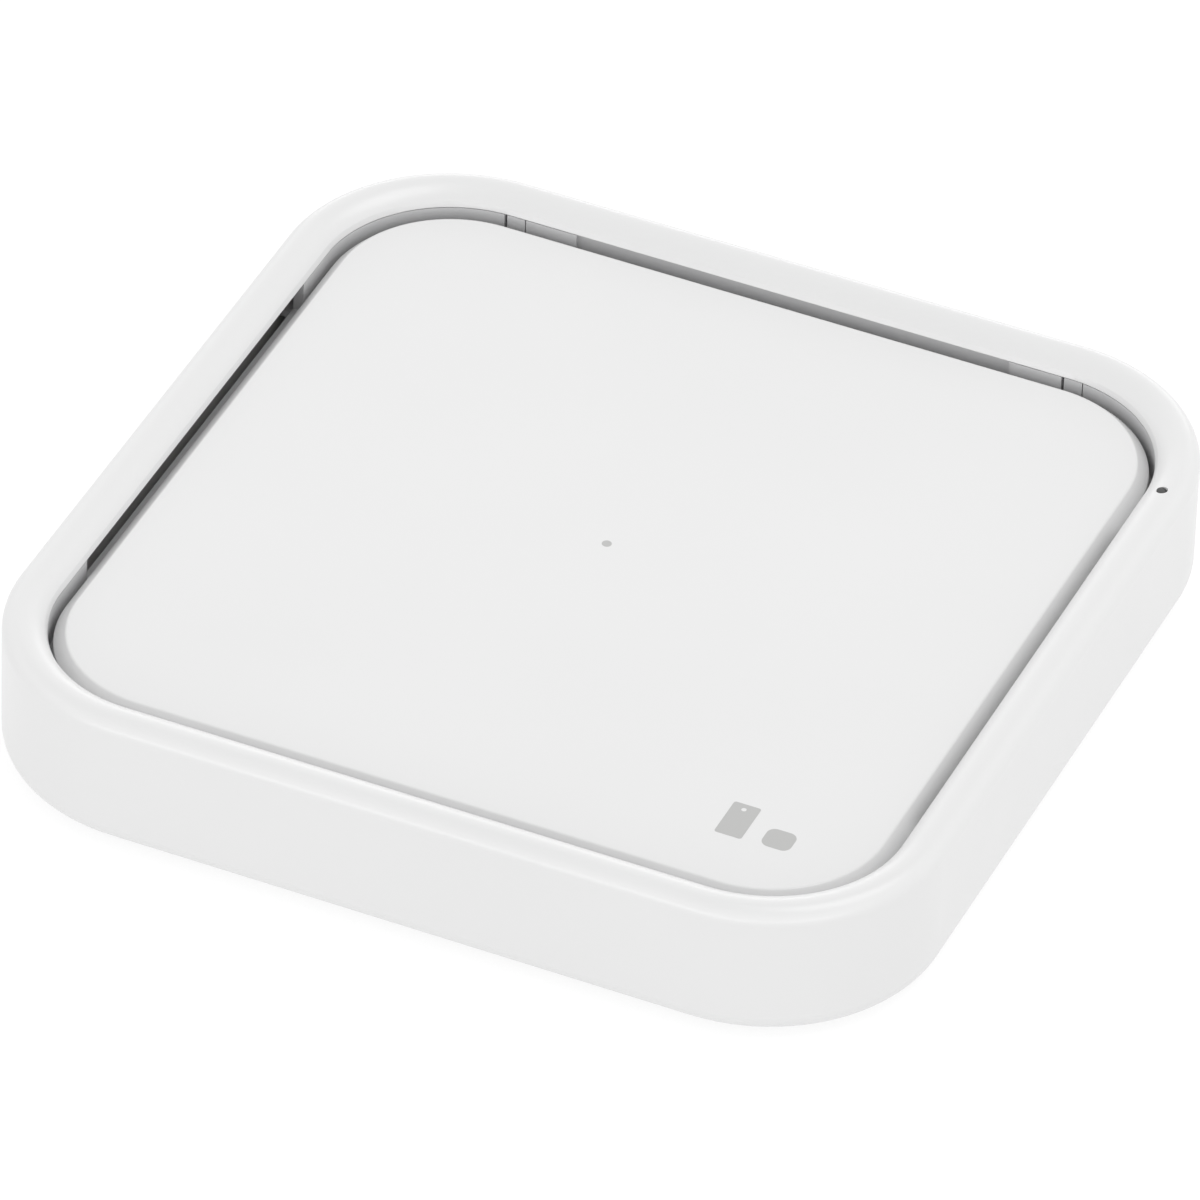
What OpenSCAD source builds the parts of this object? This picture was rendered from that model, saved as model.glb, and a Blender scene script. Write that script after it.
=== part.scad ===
// Square wireless charging pad with a rounded rim, a sunken charging plate and a small
// cooling fan. Air is drawn in through the gap round the plate and leaves through the base.
// Millimetres. +Z is up, +Y is the back (the power inlet), and the origin is the centre of
// the footprint on the surface that the feet stand on.

/* [Body] */
// Side of the square body
body_w = 95; // [93:1:100]
// Overall height, from the table to the crest of the rim
body_h = 15.1; // [15:0.1:16]
// Corner radius of the body, seen from above
corner_r = 17.8; // [17:0.2:19]
// Radius of the rounding along the bottom edge
bottom_r = 2.2; // [1.4:0.1:2.4]
// Thickness of the outer wall
wall = 1.7; // [1.5:0.1:1.7]
// Width of the rim, from the outer face to its inner lip
rim_w = 4.35; // [4.2:0.05:4.5]
// Radius of the rim's outer shoulder
shoulder_r = 1.65; // [1.5:0.05:1.7]
// Radius of the rim's crown, which falls away towards the plate
crown_r = 3.05; // [3:0.05:3.6]

/* [Charging plate] */
// How far the plate's face lies below the crest of the rim
plate_drop = 1.9; // [1.8:0.1:2]
// Gap between the rim and the plate's side
plate_gap = 0.5; // [0.5:0.1:0.8]
// Size of the plate's 45 degree chamfer
chamfer = 1.2; // [0.8:0.1:1.4]
// Thickness of the plate
plate_t = 1.5; // [1.3:0.1:1.5]

/* [Air intake] */
// Length of the open windows to the left and right
window_l = 48.4; // [40:0.2:50]
// Length of the closed windows to the front and back
pocket_l = 46; // [40:0.2:50]
// Depth of the closed front and back windows
pocket_d = 0.35; // [0.2:0.05:0.5]
// Width of the small tabs beside the front and back windows
tab_w = 1.9; // [1.6:0.1:2.4]

/* [Coil] */
// Turns of the transmitter coil
coil_turns = 11; // [8:1:11]
// Diameter of the coil's wire
wire_d = 1.15; // [0.9:0.05:1.15]
// Distance between neighbouring turns
coil_pitch = 1.2; // [1.2:0.01:1.25]
// Radius of the innermost turn
coil_inner_r = 10.5; // [10:0.1:10.8]

/* [Fan] */
// Side of the fan's square frame
fan_w = 32; // [31:0.5:33]
// Radius of the fan's duct
duct_r = 14.6; // [14:0.1:14.8]
// Number of blades
blades = 7; // [5:1:9]

/* [Indicator] */
// Diameter of the indicator's window in the rim
led_d = 1.1; // [0.8:0.1:1.1]

/* [Hidden] */
$fn = 64;
fit = 0.05;      // gap left between neighbouring solids
over = 1;        // how far a cutter runs past the face it opens

// Heights
foot_h = 0.5;                     // the feet stand this far below the case
cover_t = 1.5;
cover_top = foot_h + cover_t;
rim_z = body_h - 1.8;             // underside of the rim
rim_draft = 0.45;                 // how much the rim's inner face leans, per mm of height
plate_top = body_h - plate_drop;
plate_under = plate_top - plate_t;
ledge_t = 0.8;
ledge_z = plate_top - 4.6;        // underside of the ledge that carries the plate
ledge_top = ledge_z + ledge_t;
board_z = cover_top + 1.6;
board_t = 1;
board_top = board_z + board_t;

// Insets from the outer face of the body
hem_w = 2.8;                      // foot of the outer wall, round the bottom cover
frame_out = 3.2;                  // outer face of the vent frame's wall
frame_in = 4.3;                   // its inner face
ledge_in = 11;
plate_in = rim_w + plate_gap;     // the plate's side
skirt_t = 1.2;
straight = body_w / 2 - corner_r; // half of the straight run of a side
half_w = body_w / 2;

// Air intake
frame_top = rim_z - fit;
window_z = ledge_top + 0.5;
window_h = frame_top + over - window_z;
pocket_x = 0.4;                   // middle of the closed windows
tab_at = [-29.1, 30.15];
slit = [0.3, 0.8];                // width and depth of the slit that frees one side of a tab
groove = [0.12, 0.3];             // width and depth of the groove along its other side

// Fastening
post = body_w / 2 - 12.6;         // the four case screws, from each centre line
post_r = 2.6;
ear = 31;                         // the four tray screws
foot_in = 8.5;                    // the feet lie between these two insets
foot_out = 12.5;
foot_run = 6;                     // straight run of a foot past its corner

// Stack under the plate
film_t = 0.1;
coil_z = plate_under - film_t - wire_d;
ferrite_t = 0.9;
ferrite_z = coil_z - ferrite_t;
ferrite_w = 52;
tray_t = 0.7;
tray_z = ferrite_z - tray_t;
shield_t = 0.45;
shield_z = tray_z - fit - shield_t;
lead_slot = [0.4, 4];             // the leads pass under the coil between these x values
lead_slot_y = 6.6;                // and beyond this y value

// Power inlet
usb_w = 8.94;
usb_h = 3.26;
usb_l = 7.3;
usb_wall = 0.3;
usb_z = board_top + usb_h / 2;
usb_mouth = half_w - 0.6;

// Indicator, on the crest of the right-hand rim near the back
led_at = [half_w - 2.3, straight - 0.8];
led_lens_t = 0.8;
led_top = body_h - 0.35;          // the window lies a little below the sloping crown

// Fan
fan_z = cover_top + 0.1;
fan_h = 5.2;
fan_top = fan_z + fan_h;
fan_base_t = 0.6;
hub_r = 7;
shaft_r = 0.6;
bearing_r = 1.6;
stator_r = 5;
magnet_in = 5.4;
cup_in = 6.2;
fan_hole = 13.6;

// Places on the main board, as [x, y] from the centre
board_holes = [[-30, 21], [30, 21], [-14, 37.5]];

// ---------------------------------------------------------------- shared shapes

module rounded_square(w, r) {
  square([w, w - 2 * r], center = true);
  square([w - 2 * r, w], center = true);
  for (x = [-1, 1], y = [-1, 1])
    translate([x, y] * (w / 2 - r)) circle(r);
}

// The body's outline, drawn in by an inset
module outline(inset) {
  rounded_square(body_w - 2 * inset, corner_r - inset);
}

// Sweeps a flat profile round the body: x is the inset from the outer face, y the height
module round_the_body() {
  for (quarter = [0:3]) rotate(90 * quarter) translate([straight, straight, 0]) {
    rotate_extrude(angle = 90) translate([corner_r, 0]) mirror([1, 0]) children();
    rotate([90, 0, 0]) linear_extrude(2 * straight)
      translate([corner_r, 0]) mirror([1, 0]) children();
  }
}

module at_corners(d) {
  for (x = [-1, 1], y = [-1, 1]) translate([x * d, y * d, 0]) children();
}

// A block with its centre at [x, y] and its underside at z
module block(x, y, z, size) {
  translate([x - size.x / 2, y - size.y / 2, z]) cube(size);
}

module disc(r, z, h) {
  translate([0, 0, z]) cylinder(r = r, h = h);
}

module ring(r_in, r_out, z, h) {
  difference() {
    disc(r_out, z, h);
    disc(r_in, z - over, h + 2 * over);
  }
}

// A rounded slot seen along Y, centred on x = 0, running from y0 to y1
module slot_y(w, h, z, y0, y1) {
  translate([0, y1, z]) rotate([90, 0, 0]) linear_extrude(y1 - y0) {
    square([w - h, h], center = true);
    for (s = [-1, 1]) translate([s * (w - h) / 2, 0]) circle(h / 2);
  }
}

// A pan-head screw pointing up, with its head's underside at z = 0
module screw(head_r, head_h, shank_r, shank_l) {
  difference() {
    union() {
      disc(head_r, -head_h, head_h);
      disc(shank_r, 0, shank_l);
    }
    for (turn = [0, 90]) rotate(turn)
      block(0, 0, -head_h - over, [1.3 * head_r, 0.35 * head_r, over + head_h / 2]);
  }
}

module screw_down(head_r, head_h, shank_r, shank_l) {
  mirror([0, 0, 1]) screw(head_r, head_h, shank_r, shank_l);
}

// ---------------------------------------------------------------- wires

function unit(v) = v / norm(v);

// A point of the smooth curve through four neighbouring points
function curve_point(a, b, c, d, t) =
  0.5 * (2 * b + (c - a) * t + (2 * a - 5 * b + 4 * c - d) * t * t
    + (3 * b - a - 3 * c + d) * t * t * t);

function smooth(path, steps = 4) = let (n = len(path) - 1) concat(
  [for (i = [0:n - 1], k = [0:steps - 1])
    curve_point(path[max(i - 1, 0)], path[i], path[i + 1], path[min(i + 2, n)], k / steps)],
  [path[n]]);

function tangents(path) = let (n = len(path) - 1)
  [for (i = [0:n]) unit(path[min(i + 1, n)] - path[max(i - 1, 0)])];

// A normal carried along the tangents without twisting
function normals(t, i = 0, n = [0, 0, 0]) = i == len(t) ? [] : let (
  m = i == 0 ? unit(cross(t[0], abs(t[0].z) < 0.9 ? [0, 0, 1] : [1, 0, 0]))
             : unit(n - (n * t[i]) * t[i]))
  concat([m], normals(t, i + 1, m));

module tube(path, r, sides = 8) {
  t = tangents(path);
  n = normals(t);
  rings = len(path);
  points = [for (i = [0:rings - 1], k = [0:sides - 1])
    path[i] + r * (cos(360 * k / sides) * n[i] + sin(360 * k / sides) * cross(t[i], n[i]))];
  sides_faces = [for (i = [0:rings - 2], k = [0:sides - 1]) let (m = (k + 1) % sides)
    [i * sides + k, (i + 1) * sides + k, (i + 1) * sides + m, i * sides + m]];
  first = [for (k = [0:sides - 1]) k];
  last = [for (k = [sides - 1:-1:0]) (rings - 1) * sides + k];
  polyhedron(points, concat(sides_faces, [first, last]));
}

// ---------------------------------------------------------------- outer shells

// Side wall, hem and rim. The rim rises over a tight shoulder, falls away inwards over a
// wider crown, and ends in a steep inner face above the gap.
module case_profile() {
  difference() {
    union() {
      translate([0, foot_h]) square([wall, body_h - shoulder_r - foot_h]);
      translate([0, foot_h]) square([hem_w, cover_t]);
      difference() {
        translate([shoulder_r, body_h - shoulder_r]) circle(shoulder_r);
        translate([wall, 0]) square([rim_w, rim_z]);
      }
      intersection() {
        translate([shoulder_r, body_h - crown_r]) circle(crown_r);
        polygon([[shoulder_r, rim_z], [rim_w, rim_z],
          [rim_w - rim_draft * (body_h - rim_z), body_h], [shoulder_r, body_h]]);
      }
    }
    difference() {
      translate([-over, foot_h - over]) square(bottom_r + over);
      translate([bottom_r, foot_h + bottom_r]) circle(bottom_r);
    }
  }
}

// Ribs inside the wall that the vent frame's ledge rests on
module case_ribs() {
  rib_at = 27;
  rib_t = 1.2;
  rib_z = cover_top + 0.1;
  for (quarter = [0:3], s = [-1, 1]) rotate(90 * quarter)
    block(half_w - (wall + 3.2) / 2 + fit, s * rib_at, rib_z,
      [3.2 - wall + 2 * fit, rib_t, ledge_z - rib_z]);
}

module outer_case() {
  color("white") difference() {
    union() {
      round_the_body() case_profile();
      case_ribs();
    }
    slot_y(usb_w + 0.7, usb_h + 0.7, usb_z, half_w - 3, half_w + over);
    translate(led_at) disc(led_d / 2, rim_z - over, body_h);
  }
}

// Cutter for a recess in the front or back of the vent frame's wall, by its width and depth
module frame_recess(side, x, size) {
  block(x, side * (half_w - frame_in + size.y - over / 2), window_z, [size.x, over, window_h]);
}

module vent_frame() {
  color("gainsboro") difference() {
    union() {
      round_the_body() {
        translate([frame_out, ledge_z]) square([frame_in - frame_out, frame_top - ledge_z]);
        translate([wall + 0.1, ledge_z]) square([ledge_in - wall - 0.1, ledge_t]);
      }
      at_corners(post) disc(post_r, cover_top + 0.85, ledge_z - cover_top - 0.85 + fit);
    }
    // Open windows to the left and right, with the air slots that lead down from them
    for (side = [-1, 1]) {
      block(side * (half_w - (frame_out + frame_in) / 2), 0, window_z, [over + 1, window_l, window_h]);
      block(side * (half_w - (wall + frame_out) / 2), 0, ledge_z - over,
        [frame_out - wall, window_l, ledge_t + 2 * over]);
    }
    // Closed windows to the front and back, each between two small tabs
    for (side = [-1, 1]) {
      frame_recess(side, pocket_x, [pocket_l, pocket_d]);
      for (x = tab_at) {
        frame_recess(side, x - (tab_w + slit.x) / 2, slit);
        frame_recess(side, x + (tab_w + groove.x) / 2, groove);
      }
    }
    // Slots for the plate's hooks
    for (quarter = [0:3], s = [-1, 1]) rotate(90 * quarter)
      block(half_w - plate_in - 0.86, s * 14, ledge_z - over, [1.6, 5.4, ledge_t + 2 * over]);
    at_corners(post) disc(1, cover_top, 5);
    // Clearance for the light pipe
    translate(led_at) disc(led_d / 2 + fit, ledge_z - over, ledge_t + 2 * over);
  }
}

// ---------------------------------------------------------------- charging plate

module plate_profile() {
  polygon([
    [plate_in, ledge_top], [plate_in, plate_top - chamfer],
    [plate_in + chamfer, plate_top], [plate_in + chamfer + 3, plate_top],
    [plate_in + chamfer + 3, plate_under], [plate_in + skirt_t, plate_under],
    [plate_in + skirt_t, ledge_top]
  ]);
}

// Hooks that snap under the vent frame's ledge
module plate_hooks() {
  for (quarter = [0:3], s = [-1, 1]) rotate(90 * quarter) {
    block(half_w - plate_in - 0.6, s * 14, ledge_z - 0.6, [0.9, 5, ledge_t + 0.6 + fit]);
    block(half_w - plate_in + 0.1, s * 14, ledge_z - 0.6, [0.6, 5, 0.5]);
  }
}

// Thin marks printed on the plate, at the places of the mark shapes below
mark_t = 0.1;
module centre_shape() { circle(0.48); }
module phone_shape() {
  translate([27.9, -32.5]) difference() {
    union() {
      square([2.75, 4.35], center = true);
      square([2.25, 4.85], center = true);
      for (x = [-1, 1], y = [-1, 1]) translate([x * 1.125, y * 2.175]) circle(0.25);
    }
    translate([-0.1, 1.65]) circle(0.26);
  }
}
module earbud_case_shape() {
  translate([32.5, -33.45]) {
    square([2.95, 1], center = true);
    square([1.25, 2.7], center = true);
    for (x = [-1, 1], y = [-1, 1]) translate([x * 0.625, y * 0.5]) circle(0.85);
  }
}
module printed(z_extra = 0) {
  translate([0, 0, plate_top - mark_t]) linear_extrude(mark_t + z_extra) children();
}

module charging_plate() {
  color("whitesmoke") difference() {
    union() {
      round_the_body() plate_profile();
      translate([0, 0, plate_under]) linear_extrude(plate_t) outline(plate_in + chamfer + 2);
      plate_hooks();
      at_corners(ear) disc(2.2, tray_z + tray_t + fit, plate_under - tray_z - tray_t);
    }
    printed(over) centre_shape();
    printed(over) phone_shape();
    printed(over) earbud_case_shape();
    at_corners(ear) disc(0.75, tray_z, plate_under - tray_z - 0.3);
  }
}

module centre_mark() { color("silver") printed() centre_shape(); }
module phone_mark() { color("silver") printed() phone_shape(); }
module earbud_case_mark() { color("silver") printed() earbud_case_shape(); }

// ---------------------------------------------------------------- base

// One foot: a strip that follows the corner at the back right, grown or shrunk by a margin
module foot_shape(margin) {
  r_out = corner_r - foot_in + margin;
  r_in = corner_r - foot_out - margin;
  w = r_out - r_in;
  translate([straight, straight]) {
    intersection() {
      difference() { circle(r_out); circle(r_in); }
      square(r_out + over);
    }
    translate([-foot_run, r_in]) square([foot_run, w]);
    translate([r_in, -foot_run]) square([w, foot_run]);
    translate([-foot_run, r_in + w / 2]) circle(w / 2);
    translate([r_in + w / 2, -foot_run]) circle(w / 2);
  }
}

// Three rings of slots under the fan, crossed by six spokes
module grille() {
  for (r = [7.4, 9.9, 12.4]) difference() {
    ring(r, r + 1.5, 0, cover_top + over);
    for (spoke = [0:2]) rotate(60 * spoke) block(0, 0, -over, [2 * fan_w, 1.7, cover_top + 3 * over]);
  }
}

module bottom_cover() {
  color("white") difference() {
    union() {
      translate([0, 0, foot_h]) linear_extrude(cover_t) outline(hem_w + 0.15);
      at_corners(post) disc(3.2, foot_h, cover_t + 0.8);
      for (p = board_holes) translate(p) disc(2, foot_h, board_z - foot_h);
      for (s = [-1, 1]) translate([s * fan_hole, s * fan_hole, 0]) disc(1.3, foot_h, 3.5);
    }
    for (quarter = [0:3]) rotate(90 * quarter) linear_extrude(2 * foot_h) foot_shape(fit);
    at_corners(post) {
      disc(1.9, 0, foot_h + 1.3);
      disc(1.15, 0, cover_top + 2);
    }
    for (p = board_holes) translate(p) disc(0.6, cover_top - 0.5, board_z);
    for (s = [-1, 1]) translate([s * fan_hole, s * fan_hole, 0]) disc(0.7, cover_top - 0.5, 4);
    grille();
  }
}

module rubber_feet() {
  color("darkgray") for (quarter = [0:3]) rotate(90 * quarter)
    linear_extrude(2 * foot_h) foot_shape(0);
}

module case_screws() {
  color("lightgray") at_corners(post) translate([0, 0, foot_h + 1.3])
    screw(1.7, 0.7, 0.95, 4.6);
}

// ---------------------------------------------------------------- indicator

module led_window() {
  color("black") translate(led_at) disc(led_d / 2, led_top - led_lens_t, led_lens_t);
}

module light_pipe() {
  color("lightcyan") translate(led_at)
    disc(led_d / 2 - fit, board_top + 0.75, led_top - led_lens_t - board_top - 0.75);
}

module status_led() {
  color("lemonchiffon") block(led_at.x, led_at.y, board_top, [0.8, 1.6, 0.65]);
}

// ---------------------------------------------------------------- coil stack

// A flat spiral made of half turns whose centres alternate, so that each runs into the next
module transmitter_coil() {
  color("peru") translate([0, 0, coil_z + wire_d / 2]) rotate(90)
    for (k = [0:2 * coil_turns - 1]) let (side = k % 2 == 0 ? -1 : 1)
      translate([side * coil_pitch / 4, 0, 0]) rotate(180 * k) rotate_extrude(angle = 180)
        translate([coil_inner_r + k * coil_pitch / 2, 0]) circle(wire_d / 2);
}

// Leads from the coil's two ends: the inner one passes under the turns, in the slot
coil_mid = coil_z + wire_d / 2;
inner_y = coil_inner_r - coil_pitch / 4;
outer_y = inner_y + coil_turns * coil_pitch;
under_z = coil_z - 0.6;
inner_lead = [
  [0.06, inner_y, coil_mid], [1, inner_y - 0.1, coil_mid], [2, inner_y - 0.6, coil_mid - 0.4],
  [2.8, inner_y - 0.6, coil_mid - 0.9], [3, inner_y + 0.4, under_z], [3, 14, under_z],
  [3, 20, under_z], [3, 27, under_z], [3, 30.5, 8.6], [3, 31.6, 7], [3, 32, 5.6], [3, 33, 5.2]
];
outer_lead = [
  [-0.06, outer_y, coil_mid], [-1.5, outer_y + 0.1, coil_mid], [-3, outer_y + 0.9, coil_mid],
  [-4, outer_y + 2.8, coil_mid], [-4, 28.5, coil_mid - 1.2], [-4, 30.8, 8.6],
  [-4, 31.6, 7], [-4, 32, 5.6], [-4, 33, 5.2]
];
module coil_leads() {
  color("peru") for (lead = [inner_lead, outer_lead]) tube(smooth(lead), 0.5);
}

module coil_adhesive() {
  color("khaki") ring(coil_inner_r - 1, outer_y + 0.6, plate_under - film_t, film_t);
}

module slot_block(z, h) {
  translate([lead_slot[0], lead_slot_y, z]) cube([lead_slot[1] - lead_slot[0], 40, h]);
}

module ferrite_plate() {
  color("dimgray") difference() {
    translate([0, 0, ferrite_z]) linear_extrude(ferrite_t) rounded_square(ferrite_w, 3);
    slot_block(ferrite_z - over, ferrite_t + 2 * over);
  }
}

module coil_tray() {
  wall_in = ferrite_w / 2 + 0.3;
  lead_gap = 12;
  color("white") difference() {
    union() {
      translate([0, 0, tray_z]) linear_extrude(tray_t) {
        rounded_square(60, 6);
        for (d = [ear - 3, ear]) at_corners(d) circle(3);
      }
      translate([0, 0, tray_z]) linear_extrude(plate_under - 0.2 - tray_z) difference() {
        rounded_square(2 * wall_in + 1.6, 4.1);
        rounded_square(2 * wall_in, 3.3);
      }
    }
    slot_block(tray_z - over, tray_t + over + fit);
    block(0, 30, tray_z + tray_t, [lead_gap, 12, 6]);
    block(-4, 30.5, tray_z - over, [2, 4.6, 4]);
    at_corners(ear) disc(0.95, tray_z - over, 4);
  }
}

module tray_screws() {
  color("lightgray") at_corners(ear) translate([0, 0, tray_z]) screw(1.5, 0.5, 0.7, 2.2);
}

module shield_plate() {
  color("silver") difference() {
    translate([0, 0, shield_z]) linear_extrude(shield_t) rounded_square(54, 4);
    slot_block(shield_z - over, shield_t + 2 * over);
  }
}

module thermal_pad() {
  color("lightsteelblue") block(-16, 21.8, board_top + 0.9, [13, 6.4, shield_z - board_top - 0.9]);
}

module thermistor() {
  color("black") translate([0, 0, coil_z + 0.55]) sphere(0.5);
}

thermistor_route = [
  [0, 0.6, coil_z + 0.5], [0, 3, coil_z + 0.3], [0.6, 6, coil_z + 0.3], [0.9, 8, coil_z - 0.3],
  [1, 9.8, coil_z - 0.75], [1, 12, coil_z - 0.75], [1, 20, coil_z - 0.5], [1, 28, coil_z - 0.5],
  [1, 30.5, 8.6],
  [1, 31.4, 7], [1, 31.8, 5.4], [1, 33, 4.95]
];
module thermistor_leads() {
  color("gold") for (x = [0.2, 0.75])
    tube([for (p = smooth(thermistor_route, 3)) p + [x, 0, 0]], 0.18, 6);
}

// ---------------------------------------------------------------- electronics

module board_outline() {
  difference() {
    union() {
      translate([-38, 17.5]) square([76, 24]);
      translate([-6.5, 41]) square([13, 4.3]);
      translate([37, led_at.y - 1.2]) square([led_at.x + 0.4 - 37, 2.4]);
    }
    for (x = [-1, 1]) translate([x * post, post]) circle(post_r + 0.8);
    for (x = [-1, 1]) translate([x * 38, 41.5]) circle(5.5);
    for (p = board_holes) translate(p) circle(0.85);
  }
}

module main_board() {
  color("seagreen") translate([0, 0, board_z]) linear_extrude(board_t) board_outline();
}

module board_screws() {
  color("lightgray") for (p = board_holes)
    translate([p.x, p.y, board_top]) screw_down(1.6, 0.6, 0.5, 2.4);
}

// Power inlet: a steel shell round a tongue with contacts on both faces
module usb_shell() {
  back = usb_mouth - usb_l;
  color("silver") difference() {
    slot_y(usb_w, usb_h, usb_z, back, usb_mouth);
    slot_y(usb_w - 2 * usb_wall, usb_h - 2 * usb_wall, usb_z, back - over, usb_mouth + over);
  }
}

module usb_tongue() {
  back = usb_mouth - usb_l;
  color("black") {
    slot_y(usb_w - 2 * usb_wall - fit, usb_h - 2 * usb_wall - fit, usb_z, back - 0.4, back + 1.4);
    block(0, back + 1.2 + 2.7, usb_z - 0.35, [6.7, 5.4, 0.7]);
  }
}

module usb_contacts() {
  pads = 12;
  pitch = 0.5;
  back = usb_mouth - usb_l + 1.45;
  color("gold") for (k = [0:pads - 1], z = [usb_z + 0.35, usb_z - 0.4])
    block((k - (pads - 1) / 2) * pitch, back + 2.2, z, [0.26, 4.4, 0.05]);
}

module wireless_controller() {
  color("#262626") block(13, 32, board_top, [6, 6, 0.85]);
}

module bridge_chips() {
  color("#262626") for (x = [-19.5, -12.5]) block(x, 21.8, board_top, [4, 4, 0.85]);
}

module power_delivery_chip() {
  color("#262626") block(14, 39, board_top, [4, 3, 0.8]);
}

module resonant_capacitors() {
  color("burlywood") for (k = [0:3]) block(-9 - 5.6 * k, 31, board_top, [4.5, 3.2, 2.1]);
}

module bulk_capacitors() {
  color("burlywood") for (k = [0:3]) block(22 + 3.6 * k, 26.5, board_top, [2.5, 3.2, 1.9]);
}

module power_inductor() {
  color("dimgray") difference() {
    translate([24, 36, board_top]) linear_extrude(2.8) rounded_square(6, 0.8);
    translate([24, 36, board_top + 2.6]) cylinder(r = 1.6, h = over);
  }
}

module crystal() {
  color("silver") block(7.6, 36.5, board_top, [2.5, 3.2, 0.7]);
}

module small_capacitors() {
  color("tan") {
    for (k = [0:5]) block(8 + 2.2 * k, 27, board_top, [0.8, 1.6, 0.8]);
    for (k = [0:4]) block(-32 + 2.2 * k, 26.5, board_top, [0.8, 1.6, 0.8]);
    for (k = [0:2]) block(-24 + 2.4 * k, 37, board_top, [0.8, 1.6, 0.8]);
  }
}

module small_resistors() {
  color("#262626") {
    for (k = [0:7]) block(-6 + 1.8 * k, 23.5, board_top, [0.6, 1, 0.4]);
    for (k = [0:3]) block(18.2, 30.4 + 1.6 * k, board_top, [1, 0.6, 0.4]);
  }
}

// ---------------------------------------------------------------- cooling fan

socket_at = [10, 20];
module fan_socket() {
  color("ivory") difference() {
    block(socket_at.x, socket_at.y, board_top, [4.4, 3.4, 2.2]);
    block(socket_at.x, socket_at.y - 1, board_top + 0.5, [3.4, 3.4, 3]);
  }
}

module fan_plug() {
  color("ivory") block(socket_at.x, socket_at.y - 0.6, board_top + 0.55, [3.3, 2.4, 1.6]);
}

module fan_cable() {
  plug_front = socket_at.y - 1.8;
  z = board_top + 1.3;
  color("crimson") for (s = [-1, 1])
    tube(smooth([[9 + 0.5 * s, fan_w / 2, 5.4], [9.2 + 0.5 * s, fan_w / 2 + 0.7, 5.6],
      [9.8 + 0.6 * s, plug_front - 0.7, z + 0.1], [10 + 0.7 * s, plug_front, z]]), 0.3);
}

module fan_frame() {
  color("#333333") difference() {
    union() {
      difference() {
        translate([0, 0, fan_z]) linear_extrude(fan_h) rounded_square(fan_w, 3);
        disc(duct_r, fan_z - over, fan_h + 2 * over);
      }
      disc(6.5, fan_z, fan_base_t);
      disc(bearing_r + 0.6, fan_z, 3.1);
      for (strut = [0:2]) rotate(120 * strut + 30)
        block((duct_r + 6) / 2 + 0.2, 0, fan_z, [duct_r - 5, 1.6, fan_base_t]);
    }
    disc(bearing_r, fan_z + fan_base_t, fan_h);
    for (s = [-1, 1]) translate([s * fan_hole, s * fan_hole, 0]) {
      disc(1.4, fan_z - over, over + 2);
      disc(0.8, fan_z, fan_h + over);
    }
  }
}

module fan_screws() {
  color("lightgray") for (s = [-1, 1]) translate([s * fan_hole, s * fan_hole, fan_top])
    screw_down(1.4, 0.6, 0.6, fan_h - 0.4);
}

module fan_bearing() {
  color("darkgoldenrod") ring(shaft_r + 0.03, bearing_r, fan_z + fan_base_t, 2.5);
}

module fan_board() {
  color("seagreen") ring(bearing_r + 0.7, 6, fan_z + fan_base_t + fit, 0.3);
}

pole_z = fan_z + 1.4;
pole_h = 1.3;
module stator_core() {
  color("gray") difference() {
    union() {
      disc(2.9, pole_z, pole_h);
      intersection() {
        disc(stator_r, pole_z, pole_h);
        for (pole = [0:3]) rotate(90 * pole) {
          block(2.5, 0, pole_z, [5, 1.2, pole_h]);
          block(4.6, 0, pole_z, [0.8, 5, pole_h]);
        }
      }
    }
    disc(bearing_r + 0.6, pole_z - over, pole_h + 2 * over);
  }
}

module stator_windings() {
  color("peru") for (pole = [0:3]) rotate(90 * pole) difference() {
    block(3.55, 0, pole_z - 0.3, [1.2, 2, pole_h + 0.6]);
    block(3.55, 0, pole_z - fit / 2, [1.2 + 2 * over, 1.2 + fit, pole_h + fit]);
  }
}

rotor_z = fan_z + 0.9;
rotor_h = 3.9;
// One cambered blade: part of a thin shell turned about a line that points outwards
module blade() {
  camber_r = 5;
  blade_t = 0.5;
  sweep = 52;
  intersection() {
    translate([0, -2.8, rotor_z + rotor_h / 2 - 3.6]) rotate([0, 90, 0])
      rotate(142 - sweep / 2) linear_extrude(duct_r - 0.5) difference() {
        intersection() {
          circle(camber_r);
          polygon([[0, 0], [9, 0], [9 * cos(sweep), 9 * sin(sweep)]]);
        }
        circle(camber_r - blade_t);
      }
    ring(hub_r - 0.3, duct_r - 0.5, rotor_z + 0.1, rotor_h - 0.2);
  }
}

module impeller() {
  color("#444444") union() {
    difference() {
      union() {
        disc(hub_r, rotor_z, rotor_h);
        for (k = [0:blades - 1]) rotate(360 * k / blades) blade();
      }
      difference() {
        disc(cup_in, rotor_z - over, rotor_h + over - 0.6);
        disc(1.4, rotor_z + 2.4, rotor_h);
      }
      disc(shaft_r, rotor_z - over, rotor_h + over - 0.8);
    }
  }
}

module rotor_magnet() {
  color("#222222") ring(magnet_in, cup_in, rotor_z + 0.3, 2.9);
}

module rotor_shaft() {
  z = fan_z + fan_base_t + 0.1;
  color("silver") disc(shaft_r, z, rotor_z + rotor_h - 0.8 - z);
}

// ---------------------------------------------------------------- nodes

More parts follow.
